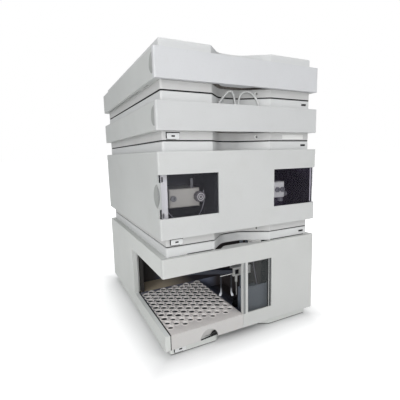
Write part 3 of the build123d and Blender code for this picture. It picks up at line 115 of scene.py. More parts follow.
class Graph:
    """Small helper round one material's node tree."""

    def __init__(self, name):
        self.mat = bpy.data.materials.new(name)
        self.mat.use_nodes = True
        self.tree = self.mat.node_tree
        self.bsdf = self.tree.nodes["Principled BSDF"]
        self.out = self.tree.nodes["Material Output"]

    def node(self, kind, **props):
        n = self.tree.nodes.new(kind)
        for k, v in props.items():
            setattr(n, k, v)
        return n

    def link(self, a, b):
        self.tree.links.new(a, b)

    def drive(self, socket, source):
        """Feed one of the shader's sockets from a node."""
        self.link(source, self.bsdf.inputs[socket])

    def fix(self, **values):
        """Set the shader's unlinked sockets, an underscore standing for a space."""
        for socket, value in values.items():
            self.bsdf.inputs[socket.replace("_", " ")].default_value = value

    def coords(self):
        return self.node("ShaderNodeTexCoord").outputs["Object"]

    def noise(self, scale, detail=2.0, rough=0.5, vec=None):
        n = self.node("ShaderNodeTexNoise")
        n.inputs["Scale"].default_value = scale
        n.inputs["Detail"].default_value = detail
        n.inputs["Roughness"].default_value = rough
        self.link(vec if vec is not None else self.coords(), n.inputs["Vector"])
        return n.outputs["Fac"]

    def cells(self, scale):
        """Voronoi cells of the part's own space."""
        n = self.node("ShaderNodeTexVoronoi")
        n.inputs["Scale"].default_value = scale
        self.link(self.coords(), n.inputs["Vector"])
        return n

    def ramp(self, fac, stops):
        n = self.node("ShaderNodeValToRGB")
        while len(n.color_ramp.elements) < len(stops):
            n.color_ramp.elements.new(0.5)
        for e, (pos, col) in zip(n.color_ramp.elements, stops):
            e.position = pos
            e.color = col
        self.link(fac, n.inputs["Fac"])
        return n.outputs["Color"]

    def drift(self, fac, base, low, high, start=0.3, stop=0.7):
        """A colour that wanders between two shades of itself."""
        return self.ramp(fac, [(start, shade(base, low)), (stop, shade(base, high))])

    def spread(self, fac, low, high):
        n = self.node("ShaderNodeMapRange")
        n.inputs["To Min"].default_value = low
        n.inputs["To Max"].default_value = high
        self.link(fac, n.inputs["Value"])
        return n.outputs["Result"]

    def multiply(self, a, b, fac):
        n = self.node("ShaderNodeMix", data_type="RGBA", blend_type="MULTIPLY")
        self.link(a, n.inputs[6])
        self.link(b, n.inputs[7])
        n.inputs[0].default_value = fac
        return n.outputs[2]

    def bump(self, height, strength, distance):
        n = self.node("ShaderNodeBump")
        n.inputs["Strength"].default_value = strength
        n.inputs["Distance"].default_value = distance
        self.link(height, n.inputs["Height"])
        return n.outputs["Normal"]


def moulded(name, rgb, rough=0.48, tone=0.035, grain=0.12, dust=None):
    """Moulded or painted instrument plastic: fine spark grain, faint colour drift, uneven sheen."""
    g = Graph(name)
    base = lin(*rgb)
    colour = g.drift(g.noise(5.0, 3.0, 0.6), base, 1 - tone, 1 + tone)
    speck = g.ramp(g.noise(420.0, 4.0, 0.7), [(0.30, (0.93, 0.93, 0.92, 1)), (0.46, grey(1))])
    colour = g.multiply(colour, speck, 0.5)
    if dust is not None:
        # handling marks, faint and blotchy
        mark = g.ramp(g.noise(14.0, 5.0, 0.65), [(0.52, grey(1)), (0.74, lin(*dust))])
        colour = g.multiply(colour, mark, 0.35)
    g.drive("Base Color", colour)
    g.drive("Roughness", g.spread(g.noise(24.0, 3.0), rough - 0.06, rough + 0.08))
    g.drive("Normal", g.bump(g.noise(1500.0, 2.0, 0.6), grain, 0.00015))
    g.fix(Specular_IOR_Level=0.42)
    return g.mat


def foam(name, rgb, tint):
    """Expanded bead foam: rounded cells a few millimetres wide, their middles tinted."""
    g = Graph(name)
    cell = g.cells(260.0).outputs["Distance"]
    g.drive("Base Color", g.ramp(cell, [(0.0, lin(*tint)), (0.55, lin(*rgb))]))
    g.drive("Normal", g.bump(cell, 0.35, 0.0006))
    g.fix(Roughness=0.85, Specular_IOR_Level=0.2)
    return g.mat


def drawn_rod(name, rgb, rough):
    """Drawn metal with fine lay marks along its length."""
    g = Graph(name)
    stretch = g.node("ShaderNodeMapping")
    stretch.inputs["Scale"].default_value = (60.0, 1.0, 1.0)
    g.link(g.coords(), stretch.inputs["Vector"])
    lay = g.noise(90.0, 5.0, 0.7, stretch.outputs["Vector"])
    g.drive("Base Color", g.drift(lay, lin(*rgb), 0.92, 1.08))
    g.drive("Roughness", g.spread(g.noise(30.0, 3.0), rough - 0.06, rough + 0.1))
    g.drive("Normal", g.bump(lay, 0.12, 0.0001))
    g.fix(Metallic=1.0)
    return g.mat


def sheet_metal(name, rgb):
    """Zinc-plated steel sheet with a faint spangle."""
    g = Graph(name)
    spangle = g.node("ShaderNodeSeparateColor")
    g.link(g.cells(120.0).outputs["Color"], spangle.inputs["Color"])
    g.drive("Base Color", g.drift(spangle.outputs["Red"], lin(*rgb), 0.93, 1.05, 0.0, 1.0))
    g.drive("Roughness", g.spread(spangle.outputs["Green"], 0.38, 0.52))
    g.drive("Normal", g.bump(g.noise(700.0, 3.0), 0.06, 0.0001))
    g.fix(Metallic=0.85)
    return g.mat


def clear(name, rgb, alpha, drift):
    """Thin tinted plastic: mostly see-through, with its own gloss and a faint haze of fine scratches."""
    g = Graph(name)
    hair = g.noise(60.0, 6.0, 0.8)
    g.drive("Base Color", g.drift(g.noise(7.0, 2.0, 0.5), lin(*rgb), 1 - drift, 1 + drift, 0.42, 0.58))
    g.drive("Roughness", g.spread(hair, 0.03, 0.08))
    g.drive("Alpha", g.spread(hair, alpha - 0.03, alpha + 0.04))
    g.drive("Normal", g.bump(g.noise(9.0, 1.0), 0.05, 0.002))
    g.fix(IOR=1.49)
    return g.mat


def fade(name, axis, stops, rough):
    """Plastic whose colour changes along an axis of the part, with stops in millimetres."""
    g = Graph(name)
    split = g.node("ShaderNodeSeparateXYZ")
    g.link(g.coords(), split.inputs["Vector"])
    low, high = stops[0][0], stops[-1][0]
    along = g.node("ShaderNodeMapRange")
    along.inputs["From Min"].default_value = low * MM
    along.inputs["From Max"].default_value = high * MM
    g.link(split.outputs[axis], along.inputs["Value"])
    colour = g.ramp(along.outputs["Result"], [((at - low) / (high - low), lin(*rgb)) for at, rgb in stops])
    speck = g.ramp(g.noise(300.0, 3.0, 0.6), [(0.3, grey(0.9)), (0.5, grey(1))])
    g.drive("Base Color", g.multiply(colour, speck, 0.5))
    g.drive("Roughness", g.spread(g.noise(40.0, 2.0), rough - 0.05, rough + 0.08))
    return g.mat


def tubing(name, rgb):
    """Translucent fluoropolymer tube."""
    g = Graph(name)
    cloud = g.noise(40.0, 2.0)
    g.drive("Base Color", g.drift(cloud, lin(*rgb), 0.94, 1.05))
    g.drive("Roughness", g.spread(cloud, 0.22, 0.32))
    g.fix(Subsurface_Weight=0.35, Subsurface_Radius=(0.004, 0.004, 0.004), Subsurface_Scale=0.5)
    return g.mat


# display colours follow the photograph: each module is a touch different
MOULDED = {
    "cover_upper": dict(rgb=(211, 212, 214), dust=(246, 245, 243)),
    "cover_degasser": dict(rgb=(205, 206, 206), dust=(246, 245, 243)),
    "cover_pump": dict(rgb=(206, 207, 206), dust=(246, 245, 242)),
    "cover_sampler": dict(rgb=(204, 205, 203), dust=(246, 245, 242)),
    "panel": dict(rgb=(203, 205, 203), rough=0.5, dust=(245, 244, 241)),
    # painted light: the sampler's sides and plinth, lighter than the other modules' panels
    "panel_low_painted_light": dict(rgb=(214, 216, 213), rough=0.5, dust=(245, 244, 241)),
    "lid": dict(rgb=(215, 216, 216), rough=0.5, dust=(246, 245, 242)),
    # plinths of the upper modules: darker than the sampler's, painted shade under the covers
    "base": dict(rgb=(199, 199, 198), rough=0.52, dust=(242, 240, 236)),
    "tray": dict(rgb=(206, 204, 202), rough=0.5, tone=0.04, dust=(238, 233, 229)),
    # painted light: the tray's top, lighter than its sides; the well rims take it
    "tray_top_painted_light": dict(rgb=(240, 235, 232), rough=0.5, tone=0.04, dust=(240, 236, 232)),
    # painted light: the top of the sill, lighter than the side panel it belongs to
    "sill": dict(rgb=(236, 238, 236), rough=0.5, tone=0.02),
    # painted shade: the finger hollows of the side panels
    "hollow": dict(rgb=(158, 160, 158), rough=0.55, tone=0.05),
    # painted shade: the return of the sampler cover's post
    "post": dict(rgb=(134, 136, 136), rough=0.5, tone=0.05),
    "edge": dict(rgb=(206, 202, 214), rough=0.35, tone=0.04),
    "strip": dict(rgb=(228, 227, 232), rough=0.4, tone=0.03),
    "button": dict(rgb=(226, 227, 227), rough=0.4, tone=0.02),
    "knob": dict(rgb=(96, 92, 98), rough=0.3, tone=0.08),
    # painted shade: the dark inside of the tray's wells
    "well": dict(rgb=(58, 58, 60), rough=0.6, tone=0.1),
    "block": dict(rgb=(128, 136, 148), rough=0.4, tone=0.06),
    "metering": dict(rgb=(100, 106, 114), rough=0.4, tone=0.06),
    "head": dict(rgb=(190, 187, 183), rough=0.34, tone=0.06, grain=0.04),
    # painted light: a lit copy of the head colour, for the right pump head and the purge knob's rings
    "head_painted_light": dict(rgb=(246, 245, 248), rough=0.36, tone=0.03, grain=0.05),
    "arm": dict(rgb=(42, 46, 58), rough=0.35, tone=0.08, grain=0.05),
    "white": dict(rgb=(232, 232, 230), rough=0.34, tone=0.02, grain=0.05),
    "grey": dict(rgb=(128, 128, 134), rough=0.4, tone=0.05, grain=0.05),
    "lamp": dict(rgb=(30, 30, 32), rough=0.25, tone=0.1, grain=0.02),
    "dark": dict(rgb=(44, 45, 49), rough=0.5, tone=0.1),
    "black": dict(rgb=(20, 20, 21), rough=0.6, tone=0.12),
}
FINGER = [(60, (226, 230, 236)), (76, (26, 29, 38))]
# painted light and shade on the chamber's dark walls and its brown-grey ledge: the walls lighter in the
# middle, the ledge lighter at its left end
CHAMBER = [(-110, (46, 43, 42)), (-30, (124, 132, 158)), (20, (124, 130, 150)), (45, (66, 60, 60))]
LEDGE = [(-100, (214, 199, 174)), (-20, (70, 66, 72))]
# painted light and shade on the tray's top: light at its front, darker towards its rear
DECK_LIGHT_AND_SHADE = [(-217, (240, 235, 232)), (-165, (222, 218, 216)), (-110, (146, 146, 155)), (-20, (118, 118, 130))]

M = {name: moulded(name, **look) for name, look in MOULDED.items()}
M["foam_black"] = foam("foam_black", (20, 20, 23), (40, 40, 46))
M["foam_warm"] = foam("foam_warm", (136, 130, 124), (160, 153, 146))
M["zinc"] = sheet_metal("zinc", (188, 190, 190))
M["rod"] = drawn_rod("rod", (200, 202, 204), 0.18)
M["tube"] = tubing("tube", (214, 215, 214))
M["capillary"] = tubing("capillary", (150, 146, 158))
M["finger"] = fade("finger", "Z", FINGER, 0.3)
M["chamber"] = fade("chamber", "X", CHAMBER, 0.8)
M["ledge"] = fade("ledge", "X", LEDGE, 0.8)
M["deck_light_and_shade"] = fade("deck_light_and_shade", "Y", DECK_LIGHT_AND_SHADE, 0.5)
M["pane_left"] = clear("pane_left", (120, 120, 128), alpha=0.07, drift=0.3)
M["pane_right"] = clear("pane_right", (92, 84, 106), alpha=0.1, drift=0.5)
M["pane_sampler"] = clear("pane_sampler", (104, 108, 108), alpha=0.12, drift=0.12)

# ---------------------------------------------------------------- each node's material
PLAIN = {
    "status_lamps": "lamp",
    "leak_outlets": "white",
    "leak_funnel": "white",
    "pump_window_left": "pane_left",
    "pump_window_right": "pane_right",
    "sampler_window": "pane_sampler",
    "degasser_tube_left": "tube",
    "degasser_tube_right": "tube",
    "degasser_fittings": "white",
    "pump_head_left": "head",
    "pump_head_right": "head_painted_light",
    "pump_fittings": "grey",
    "purge_knob": "knob",
    "pump_capillaries": "capillary",
    "vial_tray": "tray",
    "transport_rail": "rod",
    "transport_carriage": "dark",
    "transport_slider": "dark",
    "gripper_arm": "arm",
    "gripper_finger_near": "finger",
    "gripper_finger_far": "finger",
    "sampling_frame": "block",
    "needle_arm": "white",
    "needle_seat": "black",
    "sampler_capillary": "capillary",
    "pump_fan": "black",
    "sampler_fan": "black",
    "mains_inlets": "black",
    "data_ports": "black",
    "upper_chassis": "foam_warm",
    "degasser_chassis": "foam_warm",
    "pump_chassis": "foam_black",
    "sampler_chassis": "foam_black",
}
for module in BASES:
    PLAIN[module + "_front_cover"] = "cover_" + module
    PLAIN[module + "_lid"] = "lid"
    PLAIN[module + "_base"] = "base"
    PLAIN[module + "_side_left"] = "panel"
    PLAIN[module + "_side_right"] = "panel"
    PLAIN[module + "_rear_panel"] = "zinc"
for module in BUTTONS:
    PLAIN[module + "_power_button"] = "button"
# the sampler's sides and plinth take the lighter panel colour, painted light
for piece in ("side_left", "side_right", "base"):
    PLAIN["sampler_" + piece] = "panel_low_painted_light"

for name, obj in NODES.items():
    obj.data.materials.clear()
    obj.data.materials.append(M[PLAIN[name]])

ANY = (-math.inf, math.inf)


def within(c, x=ANY, y=ANY, z=ANY):
    """Whether a point lies between these limits, in millimetres."""
    return all(low < v < high for v, (low, high) in zip(c, (x, y, z)))


def paint(name, material, test):
    """Give a node's faces their own material where a test of centre, in millimetres, and normal holds."""
    mesh = NODES[name].data
    index = len(mesh.materials)
    mesh.materials.append(M[material])
    for face in mesh.polygons:
        if test(face.center / MM, face.normal):
            face.material_index = index


def in_gap(z):
    """Faces of the shadow gap under a base whose underside is at z."""
    return lambda c, n: c.z < z + GAP or (n.z < -0.5 and c.z < z + 2.3)


def in_button_opening(z):
    """Walls of the button opening in a base whose underside is at z."""
    return lambda c, n: within(c, (-155, -127), (-207.9, -193), (z + 2, z + 15)) and n.y > -0.5


def in_finger_hollow(c, n):
    """Sloping faces of the finger hollow at the front of a side panel."""
    return c.y < -188 and abs(c.x) > 168 and 0.3 < abs(n.x) < 0.9995 and abs(n.y) > 0.02


def in_tray_foot_gap(c, n):
    """Faces of the gap at the foot of the tray's finger hollow, painted black as shade."""
    return within(c, (-118, -50), (-math.inf, -205), (17, 20.6)) and abs(n.y) < 0.5


# painted shade: the faces of each base's shadow gap and the walls of its button opening are black
for module, z_base in BASES.items():
    paint(module + "_base", "black", in_gap(z_base))
    paint(module + "_base", "black", in_button_opening(z_base))
# slotted sheet flange beside the pump's left bay
paint("pump_chassis", "strip", lambda c, n: c.x < -148 and c.y < -188)
# painted shade: the inside of the right side panel beside the window is black
paint("pump_side_right", "black", lambda c, n: n.x < -0.5 or (c.x < 168.5 and c.y < -150))
# top of the tray and top of the sill beside it: painted light on both, the tray's top lighter at its front
# and painted shade towards its rear
paint("vial_tray", "deck_light_and_shade", lambda c, n: n.z > 0.7 and c.z > 40)
paint("sampler_side_left", "sill", lambda c, n: n.z > 0.7 and 30 < c.z < 60)
# chamber over the vial tray: dark walls, brown-grey ledge behind the tray, both with painted light and
# shade along x
paint("sampler_chassis", "chamber", lambda c, n: within(c, (-168, 67), (-180, 39), (17.5, 194.5)))
paint("sampler_chassis", "ledge", lambda c, n: n.z > 0.9 and c.y > -60 and 24 < c.z < 60)
# painted shade: the sloping faces of each side panel's finger hollow take a darker grey
for module in BASES:
    paint(module + "_side_left", "hollow", in_finger_hollow)
    paint(module + "_side_right", "hollow", in_finger_hollow)
# bores of the leak outlets, painted black as shade
paint("leak_outlets", "black", lambda c, n: (abs(n.y) > 0.9 and c.y > -207) or n.x * (c.x - X_LEAK) < 0)
# painted shade: the gap at the foot of the tray's finger hollow is black
paint("vial_tray", "black", in_tray_foot_gap)


# ---------------------------------------------------------------- floor, world and lamps
FLOOR_HALF = 60.0  # metres
FOOT_HALF = (0.155, 0.200, 0.0)  # the stack's foot, in metres
GLOW_REACH = 0.5  # distance from the foot at which the floor is full white, in metres
GLOW = [(0.0, grey(0)), (0.05, grey(0.18)), (0.13, grey(0.45)), (1.0, grey(1))]
AIM = Vector((0, 0, 0.25))
LAMPS = (
    # name, place and disk size in metres, power in watts
    ("key", (0.9, -2.4, 2.2), 1.6, 19.0),
    ("fill", (-2.6, -1.4, 1.3), 1.8, 26.0),
    ("front", (-0.75, -1.5, 0.42), 0.7, 6.5),
    ("top", (0.2, 0.2, 2.8), 2.0, 26.0),
    ("rear", (1.2, 2.4, 1.8), 1.8, 22.0),
)


def floor_material():
    """Pale floor that glows for the camera alone, little beside the foot, so that its shadow shows."""
    g = Graph("floor")
    g.fix(Base_Color=(0.80, 0.80, 0.80, 1.0), Roughness=0.9, Specular_IOR_Level=0.1)
    mirrored = g.node("ShaderNodeVectorMath", operation="ABSOLUTE")
    g.link(g.coords(), mirrored.inputs[0])
    beyond = g.node("ShaderNodeVectorMath", operation="SUBTRACT")
    g.link(mirrored.outputs["Vector"], beyond.inputs[0])
    beyond.inputs[1].default_value = FOOT_HALF
    split = g.node("ShaderNodeSeparateXYZ")
    g.link(beyond.outputs["Vector"], split.inputs["Vector"])
    away = g.node("ShaderNodeMath", operation="MAXIMUM")
    g.link(split.outputs["X"], away.inputs[0])
    g.link(split.outputs["Y"], away.inputs[1])
    reach = g.node("ShaderNodeMapRange")
    reach.inputs["From Max"].default_value = GLOW_REACH
    g.link(away.outputs[0], reach.inputs["Value"])
    path = g.node("ShaderNodeLightPath")
    strength = g.node("ShaderNodeMath", operation="MULTIPLY")
    g.link(path.outputs["Is Camera Ray"], strength.inputs[0])
    g.link(g.ramp(reach.outputs["Result"], GLOW), strength.inputs[1])
    glow = g.node("ShaderNodeEmission")
    glow.inputs["Color"].default_value = grey(1)
    g.link(strength.outputs[0], glow.inputs["Strength"])
    both = g.node("ShaderNodeAddShader")
    g.link(g.bsdf.outputs["BSDF"], both.inputs[0])
    g.link(glow.outputs["Emission"], both.inputs[1])
    g.link(both.outputs["Shader"], g.out.inputs["Surface"])
    return g.mat


def stage():
    bm = bmesh.new()
    bmesh.ops.create_grid(bm, x_segments=1, y_segments=1, size=FLOOR_HALF)
    mesh = bpy.data.meshes.new("floor")
    bm.to_mesh(mesh)
    bm.free()
    floor = bpy.data.objects.new("floor", mesh)
    bpy.context.scene.collection.objects.link(floor)
    floor.data.materials.append(floor_material())


def backdrop():
    """White where the camera or a clear pane looks, a soft cool light for everything else."""
    world = bpy.data.worlds.new("world")
    bpy.context.scene.world = world
    world.use_nodes = True
    tree = world.node_tree
    tree.nodes.clear()
    seen = tree.nodes.new("ShaderNodeBackground")
    seen.inputs["Color"].default_value = grey(1)
    seen.inputs["Strength"].default_value = 1.0
    light = tree.nodes.new("ShaderNodeBackground")
    light.inputs["Color"].default_value = (0.96, 0.98, 1.0, 1)
    light.inputs["Strength"].default_value = 0.32
    rays = tree.nodes.new("ShaderNodeLightPath")
    either = tree.nodes.new("ShaderNodeMath")
    either.operation = "MAXIMUM"
    tree.links.new(rays.outputs["Is Camera Ray"], either.inputs[0])
    tree.links.new(rays.outputs["Is Transmission Ray"], either.inputs[1])
    pick = tree.nodes.new("ShaderNodeMixShader")
    tree.links.new(either.outputs[0], pick.inputs[0])
    tree.links.new(light.outputs[0], pick.inputs[1])
    tree.links.new(seen.outputs[0], pick.inputs[2])
    out = tree.nodes.new("ShaderNodeOutputWorld")
    tree.links.new(pick.outputs[0], out.inputs["Surface"])


def lamps():
    for name, place, size, power in LAMPS:
        data = bpy.data.lights.new(name, "AREA")
        data.shape = "DISK"
        data.size = size
        data.energy = power
        lamp = bpy.data.objects.new(name, data)
        lamp.location = place
        lamp.rotation_euler = (AIM - Vector(place)).to_track_quat("-Z", "Y").to_euler()
        bpy.context.scene.collection.objects.link(lamp)


stage()
backdrop()
lamps()
bpy.context.scene.view_settings.view_transform = "Standard"


# ---------------------------------------------------------------- helpers for the small pieces
def new_object(name, bm, material, body):
    """A finished bmesh as an object that rides on a body."""
    mesh = bpy.data.meshes.new(name)
    bm.to_mesh(mesh)
    bm.free()
    obj = bpy.data.objects.new(name, mesh)
    obj.data.materials.append(M[material])
    bpy.context.scene.collection.objects.link(obj)
    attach(obj, body)
    return obj


def plate(bm, centre, size, bevel=0.0):
    """A box with softened edges added to a bmesh, in millimetres."""
    verts = bmesh.ops.create_cube(bm, size=1.0)["verts"]
    for v in verts:
        v.co = Vector((v.co.x * size[0], v.co.y * size[1], v.co.z * size[2]))
    if bevel > 0:
        edges = list({e for v in verts for e in v.link_edges})
        made = bmesh.ops.bevel(bm, geom=edges, offset=bevel, segments=3, affect="EDGES", profile=0.5)
        verts = list({v for f in made["faces"] for v in f.verts} | {v for v in verts if v.is_valid})
    for v in verts:
        v.co = (v.co + Vector(centre)) * MM


def prism(bm, outline, y_front, y_back):
    """Flat piece facing the front: an outline in x and z, in millimetres, between two depths."""
    rows = [[bm.verts.new((x * MM, y * MM, z * MM)) for x, z in outline] for y in (y_front, y_back)]
    bm.faces.new(rows[0])
    bm.faces.new(list(reversed(rows[1])))
    count = len(outline)
    for i in range(count):
        j = (i + 1) % count
        bm.faces.new((rows[0][j], rows[0][i], rows[1][i], rows[1][j]))


def ring_wall(bm, corners, z_low, z_high, thick):
    """A thin upright wall along a closed outline, in millimetres; corners run anticlockwise."""
    count = len(corners)
    rows = []
    for k, here in enumerate(corners):
        here = Vector(here)
        before = (here - Vector(corners[k - 1])).normalized()
        after = (Vector(corners[(k + 1) % count]) - here).normalized()
        inward = Vector((-before.y - after.y, before.x + after.x)) / (1 + before.dot(after))
        inner = here + inward * thick
        places = [Vector((q.x, q.y, z)) * MM for q in (here, inner) for z in (z_low, z_high)]
        rows.append([bm.verts.new(v) for v in places])
    for k, (a, b, c, d) in enumerate(rows):
        e, f, g, h = rows[(k + 1) % count]
        for quad in ((a, e, f, b), (c, d, h, g), (b, f, h, d), (a, c, g, e)):
            bm.faces.new(quad)


def smooth_tube(name, node, points, radius, material, body="stack"):
    """A tube as one smooth curve through its route's points, in place of the plain solid."""
    curve = bpy.data.curves.new(name, "CURVE")
    curve.dimensions = "3D"
    curve.resolution_u = 10
    curve.bevel_depth = radius * MM
    curve.bevel_resolution = 4
    curve.use_fill_caps = True
    spline = curve.splines.new("NURBS")
    spline.points.add(len(points) - 1)
    for target, place in zip(spline.points, points):
        target.co = (place[0] * MM, place[1] * MM, place[2] * MM, 1.0)
    spline.order_u = 3
    spline.use_endpoint_u = True
    obj = bpy.data.objects.new(name, curve)
    obj.data.materials.append(M[material])
    bpy.context.scene.collection.objects.link(obj)
    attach(obj, body)
    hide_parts(node)


# ---------------------------------------------------------------- small pieces left to this script
LOOP_RADIUS = 2.0
LOOP_LEFT = [
    (-40.0, -189.5, Z_NUT),
    (-46.0, -190.5, Z_LOOP - 28.0),
    (-35.5, -191.0, Z_LOOP - 14.5),
    (-20.5, -189.0, Z_LOOP + 0.5),
    (-11.5, -188.5, Z_LOOP - 2.5),
    (-8.0, -188.2, Z_LOOP - 15.0),
    (-5.0, -188.5, Z_LOOP - 33.0),
    (-4.0, -188.5, Z_NUT),
]
LOOP_RIGHT = [
    (4.5, -188.5, Z_NUT),
    (0.5, -188.7, Z_LOOP - 33.0),
    (0.0, -189.0, Z_LOOP - 17.0),
    (5.0, -190.0, Z_LOOP - 4.0),
    (16.0, -193.0, Z_LOOP + 1.0),
    (28.0, -198.0, Z_LOOP - 5.0),
    (36.5, -201.5, Z_LOOP - 21.0),
    (38.5, -203.0, Z_LOOP - 37.0),
    (36.0, -203.0, Z_NUT),
]
smooth_tube("tube_loop_left", "degasser_tube_left", LOOP_LEFT, LOOP_RADIUS, "tube")
smooth_tube("tube_loop_right", "degasser_tube_right", LOOP_RIGHT, LOOP_RADIUS, "tube")

low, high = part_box("vial_tray")
TRAY_LEFT, TRAY_FRONT = low[0] / MM, low[1] / MM
TRAY_RIGHT, TRAY_REAR, TRAY_TOP = (v / MM for v in high)
SEAM = TRAY_LEFT - 0.9  # middle of the gap between tray and sill
SEAM_FOOT = 17.5
Y_SKIN = Y_BODY - 0.05  # a hair in front of bases and lids
Z_OPENING = 97.5  # middle of the sampler cover's window
OPENING_HIGH = 104.0
Z_PANE = 289.6  # middle of the pump's windows
PANE_HIGH = 71.0

TRIM = [
    # name, material, body, slot of the record, then each plate's centre, size and edge radius
    # bare adhesive strip on the degasser's plinth
    (
        "label_strip",
        "white",
        "stack",
        "fitting_white",
        [((117.5, -208.15, 388.4), (54.0, 0.3, 8.4), 0.1)],
    ),
    # painted shade: a black line where the sampler's lid stands a little off the front cover
    (
        "lid_gap_line",
        "black",
        "stack",
        "fitting_dark",
        [
            ((-95.5, Y_SKIN, 184.1), (53.0, 0.3, 1.3), 0.05),
            ((107.5, Y_SKIN, 184.1), (89.0, 0.3, 1.3), 0.05),
        ],
    ),
    # painted shade: black plates in the gap between the tray and the sill, along its top and down its
    # front
    (
        "tray_gap_line",
        "black",
        "stack",
        "fitting_dark",
        [
            ((SEAM, -119.0, TRAY_TOP + 0.1), (2.4, 197.0, 0.3), 0.05),
            ((SEAM, -217.4, (TRAY_TOP + SEAM_FOOT) / 2), (1.5, 0.3, TRAY_TOP - SEAM_FOOT), 0.05),
        ],
    ),
    # return of the sampler cover's post, darker as painted shade, and the edge strips of its window
    (
        "post_return",
        "post",
        "sampler_cover",
        "cover_grey",
        [((-6.9, -217.55, Z_OPENING), (5.0, 0.2, OPENING_HIGH + 0.4), 0.05)],
    ),
    (
        "window_edge_dark",
        "dark",
        "sampler_cover",
        "fitting_dark",
        [((57.6, -214.4, Z_OPENING), (3.4, 0.6, OPENING_HIGH), 0.1)],
    ),
    (
        "window_edge_light",
        "white",
        "sampler_cover",
        "fitting_white",
        [((54.9, -214.4, Z_OPENING), (1.2, 0.8, OPENING_HIGH), 0.1)],
    ),
    # metering device's front behind the window
    (
        "metering_front",
        "metering",
        "stack",
        "fitting_dark",
        [((30.2, -204.4, 66.4), (56.0, 1.2, 51.8), 0.3)],
    ),
    # dark socket on the needle bracket and pale edge of the gripper arm
    (
        "needle_socket",
        "dark",
        "needle",
        "fitting_dark",
        [((24.4, -143.2, 101.0), (8.6, 0.5, 9.4), 0.1)],
    ),
    (
        "gripper_arm_edge",
        "white",
        "arm",
        "fitting_white",
        [((-11.0, -161.55, 107.4), (36.0, 0.4, 1.6), 0.1)],
    ),
    # bright edge of the right pump window and the seal beside it
    (
        "pump_window_edge",
        "edge",
        "pump_cover",
        "fitting_white",
        [((163.4, -213.0, Z_PANE), (2.6, 0.8, PANE_HIGH), 0.1)],
    ),
    (
        "pump_window_seal",
        "dark",
        "pump_cover",
        "fitting_dark",
        [((167.2, -212.6, Z_PANE), (3.0, 0.8, PANE_HIGH), 0.1)],
    ),
]
for module in BUTTONS:
    z = BASES[module] + BUTTON_UP
    # dark window in the middle of each power button
    mark = [((-141.0, -208.7, z), (6.0, 0.3, 2.6), 0.12)]
    TRIM.append((module + "_button_mark", "black", module + "_button", "fitting_dark", mark))
    # painted shade: black plates in the gap round it, wider at its top and left
    gap_shade = [
        ((-141.4, Y_SKIN, z + 5.75), (24.6, 0.3, 1.3), 0.05),
        ((-153.1, Y_SKIN, z + 1.2), (1.5, 0.3, 9.4), 0.05),
        ((-144.5, Y_SKIN, z - 5.4), (17.5, 0.3, 0.7), 0.05),
    ]
    TRIM.append((module + "_button_gap_shade", "black", "stack", "fitting_dark", gap_shade))

for name, material, body, slot, plates in TRIM:
    bm = bmesh.new()
    for centre, size, bevel in plates:
        plate(bm, centre, size, bevel)
    new_object(name, bm, material, body)


def shadow_seams():
    """Dark strip set back in the gap under each base, following the scoop."""
    back = 1.4
    x, y, rear = X_BODY - back, Y_BODY + back, Y_BACK - back
    scoop = ((-67.5, y), (-36.0, Y_SCOOP + back), (9.0, Y_SCOOP + back), (62.0, y))
    outline = ((-x, y), *scoop, (x, y), (x, rear), (-x, rear))
    for module, z in BASES.items():
        bm = bmesh.new()
        ring_wall(bm, outline, z + 0.1, z + GAP, 1.2)
        new_object(module + "_shadow_strip", bm, "black", "stack")


def tray_slot():
    """Painted shade: black plates in the gap over the base plate in the tray's finger hollow, and in the
    hollow above it.
    """
    bm = bmesh.new()
    slot = ((-104.5, 17.9), (-66.6, 20.4), (-66.6, 26.4), (-72.0, 25.9), (-86.0, 22.6), (-104.5, 20.2))
    prism(bm, slot, -217.4, -217.2)
    hollow_shade = ((-85.0, 23.4), (-72.0, 26.3), (-66.8, 26.9), (-69.0, 30.2), (-74.0, 31.6), (-79.0, 30.4))
    prism(bm, hollow_shade, -217.38, -217.2)
    new_object("tray_slot", bm, "black", "tray")


WELL_PITCH = 17.0
WELL_MARGIN = 9.1  # outer wells' distance from the tray's sides and rear
WELL_FRONT = 26.3  # first row's distance from its front
WELL_REAR = 9.0  # nearest that a well's middle may come to its rear
WELL_SIDES = 24
WELL_PROFILE = (
    # radius, height over the tray's top
    (8.1, 0.0),
    (7.7, 0.7),
    (7.1, 0.85),
    (6.3, 0.1),
    (5.7, -1.3),
    (5.2, -2.7),
    (4.9, -3.2),
    (4.6, -12.0),
)
# painted shade: from WELL_DARK on, the profile's rings take the dark well colour
WELL_DARK = 5  # first dark ring of the profile, one ring sooner behind Y_SHADED
Y_SHADED = -160


def well_cup(bm, x, y):
    """Raised rim and tapered mouth of one well, pale outside with painted light and dark inside with
    painted shade.
    """
    turn = [2 * math.pi * k / WELL_SIDES for k in range(WELL_SIDES)]
    rings = []
    for radius, rise in WELL_PROFILE:
        z = TRAY_TOP + rise
        ring = [Vector((x + radius * math.cos(t), y + radius * math.sin(t), z)) * MM for t in turn]
        rings.append([bm.verts.new(v) for v in ring])
    for level, (outer, inner) in enumerate(zip(rings, rings[1:])):
        for k in range(WELL_SIDES):
            j = (k + 1) % WELL_SIDES
            face = bm.faces.new((outer[k], outer[j], inner[j], inner[k]))
            face.material_index = int(level >= WELL_DARK - int(y > Y_SHADED))
    bm.faces.new(list(reversed(rings[-1]))).material_index = 1


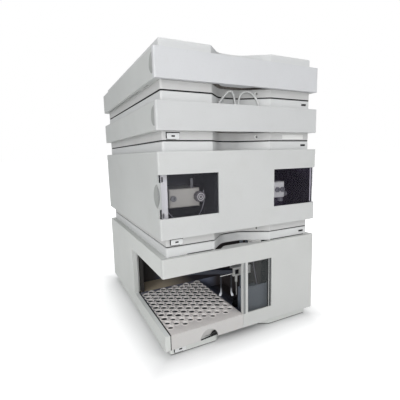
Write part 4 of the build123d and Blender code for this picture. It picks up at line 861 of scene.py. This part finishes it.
def well_rims():
    """The tray's wells in staggered columns, as the solids have them."""
    step = WELL_PITCH * math.sqrt(3) / 2
    columns = int((TRAY_RIGHT - TRAY_LEFT - 2 * WELL_MARGIN) / step) + 1
    rows = int((TRAY_REAR - TRAY_FRONT - WELL_FRONT - WELL_MARGIN) / WELL_PITCH - 0.5) + 1
    bm = bmesh.new()
    for column in range(columns):
        for row in range(rows):
            y = TRAY_FRONT + WELL_FRONT + (row + 0.5 * (column % 2)) * WELL_PITCH
            if y <= TRAY_REAR - WELL_REAR:
                well_cup(bm, TRAY_LEFT + WELL_MARGIN + column * step, y)
    for face in bm.faces:
        face.smooth = True
    bmesh.ops.recalc_face_normals(bm, faces=bm.faces)
    rims = new_object("well_rims", bm, "tray_top_painted_light", "tray")
    rims.data.materials.append(M["well"])


def rings_on_face(name, node, radii, tube, material, body):
    """Raised rings on the front of a round fitting, concentric with the node's box."""
    low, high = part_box(node)
    cx, cz, front = (low[0] + high[0]) / 2, (low[2] + high[2]) / 2, low[1]
    around, across = 32, 8
    bm = bmesh.new()
    for radius in radii:
        grid = []
        for i in range(around):
            t = 2 * math.pi * i / around
            row = []
            for j in range(across):
                p = 2 * math.pi * j / across
                r = (radius + tube * math.cos(p)) * MM
                place = (cx + r * math.cos(t), front + tube * MM * math.sin(p), cz + r * math.sin(t))
                row.append(bm.verts.new(place))
            grid.append(row)
        for i in range(around):
            for j in range(across):
                k, m = (i + 1) % around, (j + 1) % across
                bm.faces.new((grid[i][j], grid[k][j], grid[k][m], grid[i][m])).smooth = True
    bmesh.ops.recalc_face_normals(bm, faces=bm.faces)
    new_object(name, bm, material, body)


def rear_screws():
    """Pan-head screws with a cross slot at the corners of the rear panels."""
    radius, rise = 3.2, 1.6
    slot_long, slot_wide, slot_deep = 4.0, 0.8, 0.5
    for module, z_base in BASES.items():
        bm = bmesh.new()
        for x in (-162.0, 162.0):
            for z in (z_base + 24.0, TOPS[module] - 23.5):
                dome = bmesh.ops.create_uvsphere(bm, u_segments=16, v_segments=8, radius=1.0)
                for v in dome["verts"]:
                    v.co = Vector((x + radius * v.co.x, Y_SHEET + rise * v.co.y, z + radius * v.co.z)) * MM
                face = (x, Y_SHEET + rise - 0.05, z)
                plate(bm, face, (slot_long, slot_deep, slot_wide))
                plate(bm, face, (slot_wide, slot_deep, slot_long))
        new_object(module + "_rear_screws", bm, "rod", "stack")


shadow_seams()
tray_slot()
well_rims()
# pale raised rings on the purge knob: painted highlights
rings_on_face("knob_rings", "purge_knob", (3.2, 6.6), 0.5, "head_painted_light", "knob")
rear_screws()
